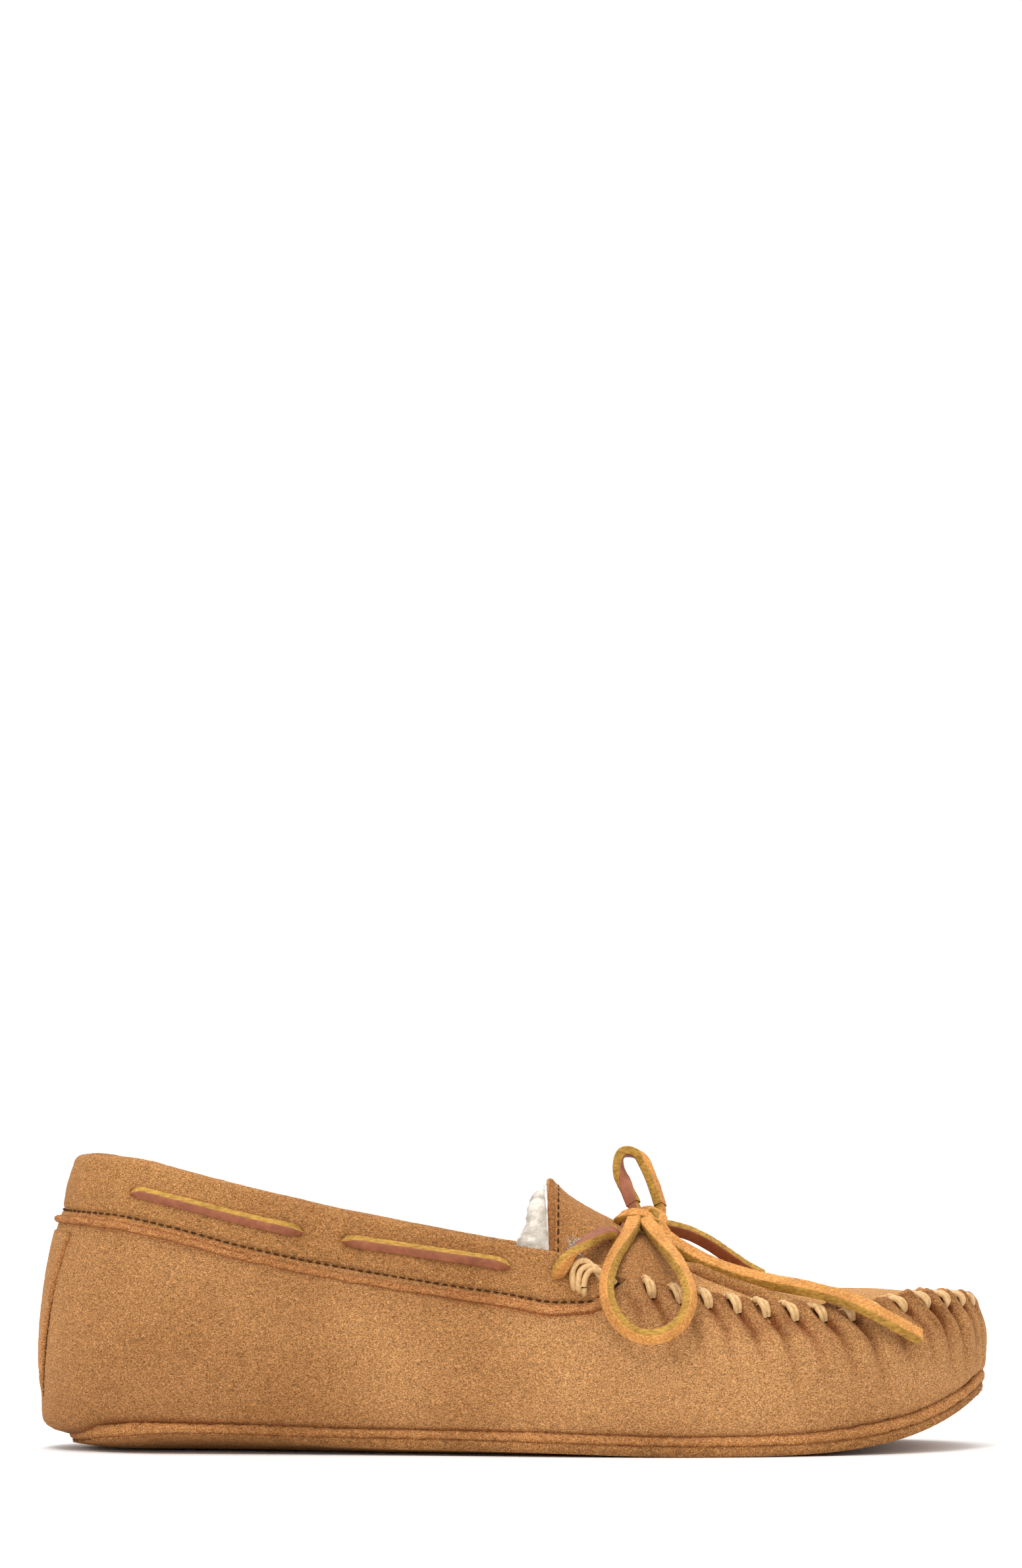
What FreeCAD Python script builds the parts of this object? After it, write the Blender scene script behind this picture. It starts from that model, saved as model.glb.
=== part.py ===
"""A fleece-lined suede moccasin slipper for the right foot, as separate pieces, in millimetres.

+X runs from heel to toe, +Y to the inner (big toe) side, +Z up. The origin is on the ground under the
middle of the shoe. One closed outline, the widest line of the upper seen from above, carries every other
piece: a place on the upper is (u, v), where u runs once round that outline from the back of the heel, along
the outer side, round the toe and back, and v runs from the sole seam up to the top edge of the upper.
"""

import FreeCAD
import Part

import bisect
import math
import os

V = FreeCAD.Vector

# Overall size
LENGTH = 289.0
WIDTH = 106.0

# Material thicknesses and the clearance left between neighbouring layers
SUEDE = 1.6
SOLE_SUEDE = 2.4
COUNTER = 0.8
FOAM = 4.6
FLEECE = 6.0
CLEAR = 0.35
LINING_OUT = SUEDE + COUNTER + 3 * CLEAR  # from the upper's outer face in to the lining

# Sole
TOE_SPRING = 19.0  # height of the sole's lowest line at the toe tip
SPRING_START = 40.0  # x where the sole starts to rise
SPRING_POWER = 4.5
FLAT_CUT = 0.6  # how much of the sole's rounded bottom is pressed flat on the ground
SOLE_HALF = [(-112, 35), (-72, 37), (-32, 40), (8, 47), (44, 52), (80, 50), (112, 44), (137, 38)]
SOLE_LIFT = [
    (-144, 1), (-135, 1.6), (-124, 3.4), (-110, 4), (-50, 2.7), (0, 2), (55, 0.8), (100, 0.9), (144, 0.4),
]  # fmt: skip
HEEL_CURL_START = -110.0  # x behind which the sole also curls up towards the back
HEEL_CURL_LENGTH = 34.0
RAND_REAR = -126.0  # x where the rand's ends go in under the heel

# Collar
COLLAR_ROLL = 3.6  # radius of the rolled top edge
WELT_HEIGHT = 3.2
WELT_THICK = 1.3

# Heel tab: half width at its foot, how much wider it is at its head, and its reach up the wall
TAB_FOOT = 6.0
TAB_SPREAD = 12.0
TAB_LOW = 0.2
TAB_TALL = 0.71

# Thread, whip stitches and lace
THREAD = 0.32  # radius of the sewing thread
THREAD_PITCH = 3.4
CORD = 0.8  # radius of the waxed whip-stitch cord
WHIP_PITCH = 8.7
WHIP_DROP = 5.4  # how far under the upper's top edge the stitches come out
WHIP_LEAN = 4.0  # how far forward of its top each stitch comes out
LACE = 1.35  # radius of the rawhide lace's round stand-in
LACE_HOLE = 2.4  # radius of the punched lace holes

# The tongue and its hinge line
TONGUE_BASE = 44.0
TONGUE_RIM = 11.0
TONGUE_HALF = 27.8

# The apron
PLUG_REAR = 19.0  # x where its wings start
PLUG_FRONT = 126.0  # x where its edge turns across the toe
PLUG_BULGE = 9.0  # how far the middle of the toe edge lies beyond that
TIP_START = 138.0  # x beyond which its half width is held
TIP_HALF = 20.0

# The widest line seen from above, as control points of a closed curve, heel first, then the outer (-Y) side
OUTLINE = [
    (-147, -1), (-137, -24), (-112, -37), (-72, -39), (-32, -43), (8, -50), (44, -54.5), (80, -51),
    (112, -40), (137, -20), (148, 9), (139, 35), (114, 49), (80, 54), (46, 53), (6, 46), (-34, 38.5),
    (-74, 35.5), (-112, 33.5), (-137, 22),
]  # fmt: skip

# How the upper's section changes along the shoe: (x of the outline, value)
SEAM_INSET = [(-144, 9.5), (-132, 5.5), (-110, 3.2), (0, 3), (100, 3), (144, 2.5)]
SEAM_Z = [
    (-144, 4.4), (-135, 5.2), (-126, 8.4), (-110, 9.4), (-50, 8), (0, 7.4), (55, 6), (80, 6.4), (96, 7.6),
    (112, 10), (128, 13.8), (137, 18), (144, 22.5),
]  # fmt: skip
SEAM_ROUND = [(-144, 4), (-115, 2.6), (144, 2.4)]
WIDEST_Z = [(-144, 21), (-60, 22), (40, 23), (105, 26), (144, 31)]
TOP_INSET = [
    (-144, 6.5), (-120, 4.5), (-90, 3), (-60, 2.5), (-30, 4), (0, 6.5), (20, 9.5), (34, 12.5), (55, 13.5),
    (85, 13), (108, 11), (128, 7), (144, 4),
]  # fmt: skip
TOP_Z = [
    (-144, 71.8), (-126, 71.2), (-105, 67.6), (-85, 62.4), (-66, 58.2), (-43, 54), (-23, 50.8), (-4, 48),
    (12, 45.4), (20, 45.6), (26, 47.6), (31, 51.5), (36, 54), (41, 52), (55, 49.7), (75, 46.6), (94, 44.6),
    (108, 45.8), (121, 48), (132, 49.6), (144, 48.4),
]  # fmt: skip
TOP_ROUND = [(-144, 2.6), (-60, 2), (40, 2.1), (144, 2)]
COLLAR_INSET = [(-144, 9.5), (-120, 8), (-90, 6), (-60, 5.5), (-30, 7.5), (0, 10.5), (20, 12.5), (34, 13)]
COLLAR_Z = [
    (-144, 89.8), (-127, 89.6), (-115, 88.6), (-103, 86), (-79, 80.2), (-55, 74.6), (-43, 72.2), (-19, 67),
    (-1, 63.4), (12, 61), (20, 58.4), (28, 56.4), (34, 54.8),
]  # fmt: skip
COLLAR_INNER = [(-144, 15), (-10, 14), (8, 10), (20, 4.6), (34, 2.2)]  # length of the leaf turned inside
COLLAR_R = [(-144, COLLAR_ROLL), (-5, COLLAR_ROLL), (15, 2.3), (34, 1.9)]
COLLAR_FRONT = 27.0  # x where the collar's front ends stop
COLLAR_END = 34.0  # x where the apron's edge passes from the collar to the upper

# The crown line of the apron and tongue (y = 0) and the height of their side edges
CROWN_Z = [
    (9, 82.9), (11, 82), (17, 77.4), (23, 74), (29, 70.6), (35, 67.2), (42, 63.6), (47, 60.8), (53, 57.6),
    (62, 54.3), (73, 51.6), (85, 49.6), (98, 48.6), (118, 48.4), (132, 48.2), (144, 46.4),
]  # fmt: skip
EDGE_Z = [
    (9, 55), (19, 56.6), (26, 54.6), (34, 53), (41, 50.4), (55, 48.1), (75, 45), (94, 43), (108, 44.2),
    (121, 46.2), (132, 47.6), (144, 46.4),
]  # fmt: skip
# How much lower the collar and the puckered seam are on the inner side
COLLAR_DROP = [(-140, 0), (-112, 2.4), (-20, 2.2), (20, 0.6), (34, 0)]
SEAM_DROP = [(60, 0), (105, 2.4), (144, 2.2)]


# ---------------------------------------------------------------- curves and surfaces


def keyed(keys, x):
    """The value at x of a smooth line through the keys, held flat beyond its ends."""
    xs = [k[0] for k in keys]
    if x <= xs[0]:
        return keys[0][1]
    if x >= xs[-1]:
        return keys[-1][1]
    i = bisect.bisect_right(xs, x) - 1

    def slope(j):
        if j <= 0 or j >= len(keys) - 1:
            return 0.0
        a = (keys[j][1] - keys[j - 1][1]) / (xs[j] - xs[j - 1])
        b = (keys[j + 1][1] - keys[j][1]) / (xs[j + 1] - xs[j])
        return 0.0 if a * b <= 0 else 2 * a * b / (a + b)

    h = xs[i + 1] - xs[i]
    t = (x - xs[i]) / h
    a, b, ma, mb = keys[i][1], keys[i + 1][1], slope(i) * h, slope(i + 1) * h
    rise = (3 * t**2 - 2 * t**3) * (b - a)
    return a + rise + (t**3 - 2 * t**2 + t) * ma + (t**3 - t**2) * mb


def closed_curve(points, per_span=40):
    """Points of a closed uniform cubic B-spline with these control points."""
    found, n = [], len(points)
    for i in range(n):
        quad = [points[(i + k - 1) % n] for k in range(4)]
        for j in range(per_span):
            t = j / per_span
            w = ((1 - t) ** 3, 3 * t**3 - 6 * t**2 + 4, -3 * t**3 + 3 * t**2 + 3 * t + 1, t**3)
            found.append([sum(a * q[k] for a, q in zip(w, quad)) / 6 for k in range(2)])
    return found


def ring_table():
    """The outline fitted to LENGTH by WIDTH and centred, as (distance along, x, y) rows."""
    pts = closed_curve(OUTLINE)
    for k, size in ((0, LENGTH), (1, WIDTH)):
        low, high = min(p[k] for p in pts), max(p[k] for p in pts)
        for p in pts:
            p[k] = (p[k] - (low + high) / 2) * size / (high - low)
    rows, s = [], 0.0
    for i in range(len(pts) + 1):
        if i:
            s += math.dist(pts[i % len(pts)], pts[i - 1])
        rows.append((s, *pts[i % len(pts)]))
    return rows


RING = ring_table()
ROUND_IT = RING[-1][0]


def ring(u):
    """(x, y) of the outline at u, and its outward normal."""
    s = (u % 1.0) * ROUND_IT
    i = min(max(bisect.bisect_right(RING, (s,)) - 1, 0), len(RING) - 2)
    (s0, x0, y0), (s1, x1, y1) = RING[i], RING[i + 1]
    t = (s - s0) / (s1 - s0)

    def tangent(j):
        a, b = RING[(j - 1) % (len(RING) - 1)], RING[(j + 1) % (len(RING) - 1)]
        return b[1] - a[1], b[2] - a[2]

    (ax, ay), (bx, by) = tangent(i), tangent(i + 1)
    tx, ty = ax + (bx - ax) * t, ay + (by - ay) * t
    size = math.hypot(tx, ty)
    return x0 + (x1 - x0) * t, y0 + (y1 - y0) * t, ty / size, -tx / size


def u_at(x, outer=True):
    """The u of the outline's point at x, on the outer (-Y) side or the inner one."""
    low, high = (0.02, 0.49) if outer else (0.98, 0.51)
    for _ in range(40):
        mid = (low + high) / 2
        low, high = (mid, high) if ring(mid)[0] < x else (low, mid)
    return (low + high) / 2


def drop_of(keys, x, y):
    """How much lower the inner side is at (x, y)."""
    t = min(max((y + 8) / 20, 0.0), 1.0)
    return keyed(keys, x) * t * t * (3 - 2 * t)


def top_z(x, y):
    """Height of the upper's top edge."""
    return keyed(TOP_Z, x) - drop_of(SEAM_DROP, x, y)


def wall_raw(u, v):
    """The upper's outer surface."""
    x, y, nx, ny = ring(u)
    zb, zm, zt = keyed(SEAM_Z, x), keyed(WIDEST_Z, x), top_z(x, y)
    z = zb + (zt - zb) * v
    if z < zm:
        inset = keyed(SEAM_INSET, x) * ((zm - z) / (zm - zb)) ** keyed(SEAM_ROUND, x)
    else:
        inset = keyed(TOP_INSET, x) * ((z - zm) / (zt - zm)) ** keyed(TOP_ROUND, x)
    return V(x - nx * inset, y - ny * inset, z)


def collar_raw(u, v):
    """The collar's outer surface: up the outer leaf, over the rolled edge and down inside."""
    x, y, nx, ny = ring(u)
    zt, zc, r = keyed(TOP_Z, x) + CLEAR, keyed(COLLAR_Z, x) - drop_of(COLLAR_DROP, x, y), keyed(COLLAR_R, x)
    low, high = keyed(TOP_INSET, x), keyed(COLLAR_INSET, x)
    inner = keyed(COLLAR_INNER, x)
    if v < 0.4:
        t = v / 0.4
        z = zt + (zc - r - zt) * t
        inset = low + (high - low) * t
    elif v < 0.7:
        a = math.pi * (v - 0.4) / 0.3
        z = zc - r + r * math.sin(a)
        inset = high + r - r * math.cos(a)
    else:
        t = (v - 0.7) / 0.3
        z = zc - r - inner * t
        inset = high + 2 * r + 0.6 * t
    return V(x - nx * inset, y - ny * inset, z)


def normal_of(surface, u, v, eps=1e-3):
    """The unit normal of a surface, (d/du) x (d/dv)."""
    du = surface(u + eps, v) - surface(u - eps, v)
    v0, v1 = max(v - 5 * eps, 0.0), min(v + 5 * eps, 1.0)
    n = du.cross(surface(u, v1) - surface(u, v0))
    return n.normalize()


def wall(u, v, out=0.0):
    return wall_raw(u, v) + normal_of(wall_raw, u, v) * out


def collar(u, v, out=0.0):
    return collar_raw(u, v) + normal_of(collar_raw, u, v) * out


def apron_edge(u, by_collar):
    """x, y of the apron's edge at u: just inside the collar's turned leaf, or just inside the upper."""
    x, y, nx, ny = ring(u)
    if by_collar:
        inset = keyed(COLLAR_INSET, x) + 2 * keyed(COLLAR_R, x) + 3 * CLEAR
    else:
        inset = keyed(TOP_INSET, x) + SUEDE + CLEAR
    return x - nx * inset, y - ny * inset


def edge_half(x, outer):
    """How far from the centre line the apron's edge lies at x, on one side."""
    low, high = (0.02, 0.49) if outer else (0.98, 0.51)
    for _ in range(30):
        mid = (low + high) / 2
        low, high = (mid, high) if apron_edge(mid, x < COLLAR_END)[0] < x else (low, mid)
    return abs(apron_edge(low, x < COLLAR_END)[1])


def crown(x, y):
    """Height of the apron and tongue over (x, y): an arch from the edges up to the crown line."""
    half = edge_half(x, y < 0) if x < TIP_START else TIP_HALF
    share = min(abs(y) / half, 1.15)
    top, low = keyed(CROWN_Z, x), keyed(EDGE_Z, x) - drop_of(SEAM_DROP, x, y)
    return top - (top - low) * share**2.1


def grid(surface, us, vs):
    return [[surface(u, v) for v in vs] for u in us]


def span(a, b, n):
    return [a + (b - a) * i / (n - 1) for i in range(n)]


def solid_between(front, back):
    """A closed solid between two grids of points, one surface through each."""
    faces, surfaces = [], []
    for points in (front, back):
        s = Part.BSplineSurface()
        s.interpolate(points)
        surfaces.append(s)
        faces.append(s.toShape())
    a, b = surfaces
    u0, u1, v0, v1 = a.bounds()
    w0, w1, t0, t1 = b.bounds()
    edges = [
        (a.uIso(u0), b.uIso(w0)),
        (a.uIso(u1), b.uIso(w1)),
        (a.vIso(v0), b.vIso(t0)),
        (a.vIso(v1), b.vIso(t1)),
    ]
    faces += [Part.makeRuledSurface(c.toShape(), d.toShape(), 1) for c, d in edges]
    shell = Part.makeShell(faces)
    shell.sewShape()
    solid = Part.Solid(Part.Shell(shell.Faces))
    if solid.Volume < 0:
        solid.reverse()
    return solid


def sheet(surface, us, vs, outside, inside):
    """A sheet of material following a surface, from `outside` to `inside` along its normal."""
    front = grid(lambda u, v: surface(u, v, outside), us, vs)
    back = grid(lambda u, v: surface(u, v, inside), us, vs)
    return solid_between(front, back)


def sole_z(x):
    """Height of the sole's lowest line."""
    share = max(x - SPRING_START, 0.0) / (LENGTH / 2 - SPRING_START)
    return TOE_SPRING * share**SPRING_POWER


def edge_lift(x, y):
    """How far the soft sole curls up towards its edge at (x, y)."""
    share = math.hypot(y / keyed(SOLE_HALF, x), max(HEEL_CURL_START - x, 0) / HEEL_CURL_LENGTH)
    return keyed(SOLE_LIFT, x) * min(share, 1.1) ** 3


def footbed(low, high, inset, curled_top=False):
    """A slab that follows the sole, from `low` to `high` above it, inset from the upper's seam."""
    points = []
    for u in span(0, 1, 61)[:-1]:
        x, y, nx, ny = ring(u)
        d = keyed(SEAM_INSET, x) + inset
        points.append(V(x - nx * d, y - ny * d, -5))
    curve = Part.BSplineCurve()
    curve.interpolate(points, PeriodicFlag=True)
    prism = Part.Face(Part.Wire(curve.toShape())).extrude(V(0, 0, 60))
    xs, ys = span(-150, 150, 31), span(-60, 60, 13)

    def level(x, y, z, curled):
        return V(x, y, sole_z(x) + z + (edge_lift(x, y) if curled else 0.0))

    front = [[level(x, y, high, curled_top) for y in ys] for x in xs]
    back = [[level(x, y, low, low < FOAM) for y in ys] for x in xs]
    return solid_between(front, back).common(prism)


def tube(points, radius, bend=0.45):
    """A round tube along straight runs joined by arcs, its tightest radius and its length."""
    pts = [V(*p) for p in points]
    edges, last, smallest = [], pts[0], 999.0
    for a, b, c in zip(pts, pts[1:], pts[2:]):
        d1, d2 = (b - a).normalize(), (c - b).normalize()
        turn = math.acos(max(-1.0, min(1.0, d1.dot(d2))))
        cut = bend * min((b - a).Length, (c - b).Length)
        r = cut / math.tan(turn / 2)
        start, end = b - d1 * cut, b + d2 * cut
        toward = (d2 - d1).normalize()
        middle = b + toward * (r / math.cos(turn / 2) - r)
        edges += [Part.LineSegment(last, start).toShape(), Part.Arc(start, middle, end).toShape()]
        last, smallest = end, min(smallest, r)
    edges.append(Part.LineSegment(last, pts[-1]).toShape())
    path = Part.Wire(edges)
    circle = Part.Wire(Part.Circle(pts[0], pts[1] - pts[0], radius).toShape())
    solid = path.makePipeShell([circle], True, True)
    return solid, smallest, path.Length


def between(a, b, c, radius):
    """A round cord that bends once, through three points."""
    arc = Part.Wire(Part.Arc(a, b, c).toShape())
    tangent = arc.Edges[0].tangentAt(arc.Edges[0].FirstParameter)
    circle = Part.Wire(Part.Circle(a, tangent, radius).toShape())
    return arc.makePipeShell([circle], True, True)


def rod(a, b, radius):
    return Part.makeCylinder(radius, (b - a).Length, a, b - a)


# ---------------------------------------------------------------- sole and footbed


def make_outsole():
    slab = footbed(-FLAT_CUT, SOLE_SUEDE, -0.5, curled_top=True)
    return slab.common(Part.makeBox(400, 200, 60, V(-200, -100, 0)))


def make_rand():
    """The narrow suede strip sewn into the seam between sole and upper, tucked under behind RAND_REAR."""

    def face(u, v, out):
        x, y, nx, ny = ring(u)
        d = keyed(SEAM_INSET, x) - 0.5 - 0.7 * math.sin(math.pi * v) - out
        return V(x - nx * d, y - ny * d, keyed(SEAM_Z, x) - 2.6 + 2.2 * v)

    return sheet(face, span(u_at(RAND_REAR), u_at(RAND_REAR, False), 91), span(0, 1, 5), 0.0, -2.0)


# ---------------------------------------------------------------- upper, linings, collar

U_FRONT = u_at(COLLAR_FRONT)
U_FRONT_IN = u_at(COLLAR_FRONT, False) - 1.0
U_VAMP = u_at(33.0)
U_VAMP_IN = u_at(33.0, False)


def make_upper():
    return sheet(wall, span(0.0008, 0.9992, 201), span(0, 1, 17), 0.0, -SUEDE)


def make_heel_tab():
    """The wedge of suede over the seam at the back of the heel, wide at the collar and narrow at the sole."""

    def face(a, v, out):
        half = (TAB_FOOT + TAB_SPREAD * v**1.3) / ROUND_IT
        return wall(a * half, TAB_LOW + TAB_TALL * v, out)

    return sheet(face, span(-1, 1, 21), span(0, 1, 15), SUEDE + CLEAR, CLEAR)


def make_collar():
    band = sheet(collar, span(U_FRONT_IN, U_FRONT, 101), span(0, 1, 21), 0.0, -SUEDE * 0.9)
    for hole in lace_holes():
        band = band.cut(hole)
    return band


def make_welt():
    """The collar's turned lower edge, a raised strip just under its row of stitches."""

    def face(u, v, out):
        x = ring(u)[0]
        drop = WELT_HEIGHT * (1 - v) / (keyed(TOP_Z, x) - keyed(SEAM_Z, x))
        return wall(u, 1 - drop, out + 0.25 * math.sin(math.pi * v))

    return sheet(face, span(U_FRONT_IN, U_FRONT, 101), span(0.0, 0.94, 5), WELT_THICK, CLEAR)


def make_counter():
    """The stiff cup between the upper and its lining at the heel."""
    outside = -SUEDE - 2 * CLEAR
    return sheet(wall, span(-0.1, 0.1, 61), span(0.14, 0.72, 13), outside, outside - COUNTER)


def lining(u0, u1, v0, v1, n):
    return sheet(wall, span(u0, u1, n), span(v0, v1, 9), -LINING_OUT, -LINING_OUT - FLEECE)


# ---------------------------------------------------------------- apron and tongue


def plug_point(a, b, out=0.0):
    """The apron: b runs from its rear edge to the toe, a from its outer edge to its inner one."""
    back = TONGUE_BASE + 0.6 + 2.4 * a * a
    x = back + (PLUG_FRONT - back) * b
    y = a * edge_half(x, a < 0)
    forward = PLUG_BULGE * b**4 * (1 - a * a)
    low = keyed(EDGE_Z, x) - drop_of(SEAM_DROP, x, y)
    z = keyed(CROWN_Z, x + forward) - (keyed(CROWN_Z, x) - low) * abs(a) ** 2.1
    return V(x + forward, y, z + out)


def wing_point(side):
    """The apron's wing on one side, which runs back beside the tongue to the collar's front end."""

    def point(a, b, out=0.0):
        x = PLUG_REAR + (TONGUE_BASE + 1.2 - PLUG_REAR) * b
        half = edge_half(x, side < 0)
        y = TONGUE_HALF + 0.8 + (half - TONGUE_HALF - 0.8) * a
        return V(x, side * y, crown(x, side * y) + out)

    return point


def make_plug():
    return sheet(plug_point, span(-1, 1, 21), span(0, 1, 25), 0.0, -SUEDE)


def make_wing(side):
    return sheet(wing_point(side), span(0, 1, 5), span(0, 1, 13), 0.0, -SUEDE)


def make_plug_lining():
    def face(a, b, out):
        return plug_point(a * 0.78, 0.08 + 0.83 * b, out)

    return sheet(face, span(-1, 1, 21), span(0, 1, 21), -SUEDE - CLEAR, -SUEDE - CLEAR - FLEECE * 0.8)


def tongue_point(a, b):
    """The tongue: b runs from its base to its free rim, a from its outer side to its inner one."""
    x = TONGUE_BASE + (TONGUE_RIM - TONGUE_BASE) * b
    y = a * TONGUE_HALF
    return V(x, y, crown(x, y))


def tongue(a, b, out=0.0):
    return tongue_point(a, b) + normal_of(tongue_point, a, b) * out


def make_tongue():
    body = sheet(tongue, span(-1, 1, 21), span(0, 1, 13), 0.0, -SUEDE)
    for side in (-1, 1):
        hole = TONGUE_HOLE[side]
        body = body.cut(Part.makeCylinder(LACE_HOLE, 12, hole - V(0, 0, 6)))
    return body


def make_tongue_lining():
    def face(a, b, out):
        return tongue(a * 0.93, 0.12 + 0.88 * b, out)

    return sheet(face, span(-1, 1, 21), span(0, 1, 13), -SUEDE - CLEAR, -SUEDE - CLEAR - FLEECE)


TONGUE_HOLE = {side: tongue(0.74 * side, 0.4) for side in (-1, 1)}

# ---------------------------------------------------------------- stitches


def steps(surface, start, end, pitch):
    """Parameters along u, about `pitch` apart on the surface."""
    u, found = start, []
    while u < end:
        found.append(u)
        u += pitch * 1e-3 / max((surface(u + 1e-3) - surface(u)).Length, 1e-6)
    return found


def thread_row(surface, start, end):
    """A row of machine stitches lying on a line."""
    us = steps(surface, start, end, THREAD_PITCH)
    rods = [rod(surface(a), surface(a + 0.68 * (b - a)), THREAD) for a, b in zip(us, us[1:])]
    return Part.Compound(rods)


def make_collar_thread():
    def line(u):
        return collar(u, 0.022, THREAD + 0.05)

    return thread_row(line, U_FRONT_IN, U_FRONT - 0.004)


def make_tab_thread():
    rows = []
    for side in (-1, 1):

        def line(v, side=side):
            half = (TAB_FOOT + 1.4 + TAB_SPREAD * v**1.3) / ROUND_IT
            return wall(side * half, TAB_LOW + TAB_TALL * v, THREAD + CLEAR)

        rows += thread_row(line, 0.02, 0.98).Solids
    return Part.Compound(rows)


def make_tongue_thread():
    def line(a):
        return tongue(a, 0.86, THREAD + 0.05)

    return thread_row(line, -0.96, 0.96)


def make_sole_thread():
    def line(u):
        return wall(u, 0.012, THREAD + CLEAR)

    return thread_row(line, 0.065, 0.935)


def whip_stitch(u, lean):
    """One cord stitch: from a hole in the upper, over the seam, to a hole in the apron."""
    x, y, nx, ny = ring(u)
    height = top_z(x, y) - keyed(SEAM_Z, x)
    hole = wall(u + lean, 1 - WHIP_DROP / height, CORD + 0.1)
    top = wall(u, 1.0)
    inward = V(-nx, -ny, 0)
    over = top + V(0, 0, CORD + 0.9) + inward * 0.9 + normal_of(wall_raw, u, 1.0) * 0.4
    plug_side = top + inward * 4.6 + V(0, 0, CORD + 0.35)
    return between(hole, over, plug_side, CORD)


def make_whip_stitches():
    lean = WHIP_LEAN / ROUND_IT
    us = steps(lambda u: wall(u, 1.0), u_at(39.0), u_at(39.0, False), WHIP_PITCH)
    return Part.Compound([whip_stitch(u, lean if u < 0.5 else -lean) for u in us])


def make_end_wraps(outer):
    """Three turns of cord round the collar's front end, where the whip stitching starts."""
    turns = []
    for k in range(3):
        u = u_at(17.5 + 2.1 * k, outer)
        if not outer:
            u -= 1.0
        a = collar(u, 0.24, CORD + CLEAR)
        b = collar(u, 0.47, CORD + 3 * CLEAR)
        c = collar(u, 0.66, CORD + 2 * CLEAR)
        turns.append(between(a, b, c, CORD))
    return Part.Compound(turns)


# ---------------------------------------------------------------- lace

OUTSIDE_RUNS = ((-112, -67), (-47, -3))  # x from and to of the lace's stretches outside the collar
LACE_V = [(-120, 0.23), (-60, 0.24), (0, 0.3)]  # how far up the collar's outer leaf the lace runs
FRONT_HOLE_X = 12.0


def lace_on_collar(u, depth=0.0):
    return collar(u, keyed(LACE_V, ring(u)[0]), depth)


def lace_depth(x):
    """How far the lace's middle lies outside the collar's face at x: out in its runs, in between them."""
    out, deep, ramp = LACE + 0.35, -SUEDE * 0.9 - LACE - 0.35, 5.5
    share = 0.0
    for a, b in OUTSIDE_RUNS:
        edge = min(x - a, b - x)
        share = max(share, min(max(edge / ramp + 0.5, 0.0), 1.0))
    return deep + (out - deep) * share


def lace_route():
    """The lace inside and outside the collar, from its front hole on one side round the heel to the other."""
    stations = [FRONT_HOLE_X - 1.5, 5, -1]
    for a, b in reversed(OUTSIDE_RUNS):
        stations += [b - 6, (a + b) / 2 + 6, (a + b) / 2 - 7, a + 6, a - 5]
    stations = [s for s in stations if s > -118] + [-119]
    us = [u_at(x) for x in stations]
    heel = [0.062, 0.034, 0.0, -0.034, -0.062]
    back = [u_at(x, False) - 1.0 for x in reversed(stations)]
    points = []
    for u in us + heel + back:
        points.append(lace_on_collar(u, lace_depth(ring(u)[0])))
    return points


def lace_holes():
    """The punched holes that the lace goes through, cut along the lace itself."""
    clear_lace, _, _ = tube(lace_route(), LACE + 0.45)
    holes = [clear_lace]
    for outer in (True, False):
        u = u_at(FRONT_HOLE_X, outer)
        inside, outside = lace_on_collar(u, -4), lace_on_collar(u, 4)
        holes.append(rod(inside, outside, LACE_HOLE))
    return holes


# Routes of the lace's free parts, chosen by hand, in millimetres
BRIDGE = {
    -1: [
        (13, -39.4, 54.6), (13.8, -43.4, 57), (17.4, -41.6, 61.2), (22.4, -33.4, 64.6), (27.2, -26.4, 67),
        (30.5, -23, 66.6), (31, -21.8, 63.6),
    ],
    1: [
        (13, 36, 54.6), (13.8, 40, 57), (17.4, 38.6, 61.2), (22.4, 32.2, 65), (27.2, 26.2, 67.2),
        (30.5, 23, 66.4), (31, 21.8, 63.2),
    ],
}  # fmt: skip
LOOP_OUTER = [
    (37, -6.5, 71.4), (36.2, -14, 68.8), (34, -23, 65.2), (29.6, -37, 59.4), (27.2, -49, 51.6),
    (29, -55.6, 43.6), (34.8, -57.8, 37.6), (42.2, -58, 36.2), (49, -57.4, 39.4), (52.8, -54.6, 45.2),
    (52.6, -47.6, 52.2), (48.8, -36, 59), (44.2, -22.6, 64.2), (39.6, -9.5, 70),
]  # fmt: skip
LOOP_INNER = [
    (36.4, 4.6, 74.2), (34.4, 7.6, 79), (31.6, 10.4, 84.4), (32.2, 13, 90.4), (38.6, 14.2, 89.4),
    (41.4, 12.4, 83.2), (43.4, 10, 78), (44.6, 7.6, 73.6),
]  # fmt: skip
TAIL_OUTER = [
    (43.5, -7, 66.4), (52, -12.4, 60), (64, -18.4, 55), (77, -25.4, 51.8), (90, -32.6, 50),
    (103, -38.4, 46.4), (114, -38.8, 40.6), (122.5, -34.6, 35.6),
]  # fmt: skip
TAIL_INNER = [
    (44, 4.6, 67.6), (51, 8, 66.4), (59, 12, 62.6), (66, 16, 57.6), (71.5, 19.6, 53.6), (76, 22.6, 51.4),
]  # fmt: skip
KNOT_AT = V(40, -0.6, 70.6)
KNOT_CORE = 3.6  # radius of the knot's middle
KNOT_RING = 4.2  # radius of the turn of lace round it
KNOT_TURN = 1.5  # and that turn's own radius


def make_knot():
    """The bow's knot: a core with a wrap of lace round it."""
    core = Part.makeSphere(KNOT_CORE, KNOT_AT)
    wrap = Part.makeTorus(KNOT_RING, KNOT_TURN, KNOT_AT, V(1, 0.25, 0.3))
    return core.fuse(wrap)


# ---------------------------------------------------------------- all of it


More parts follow.
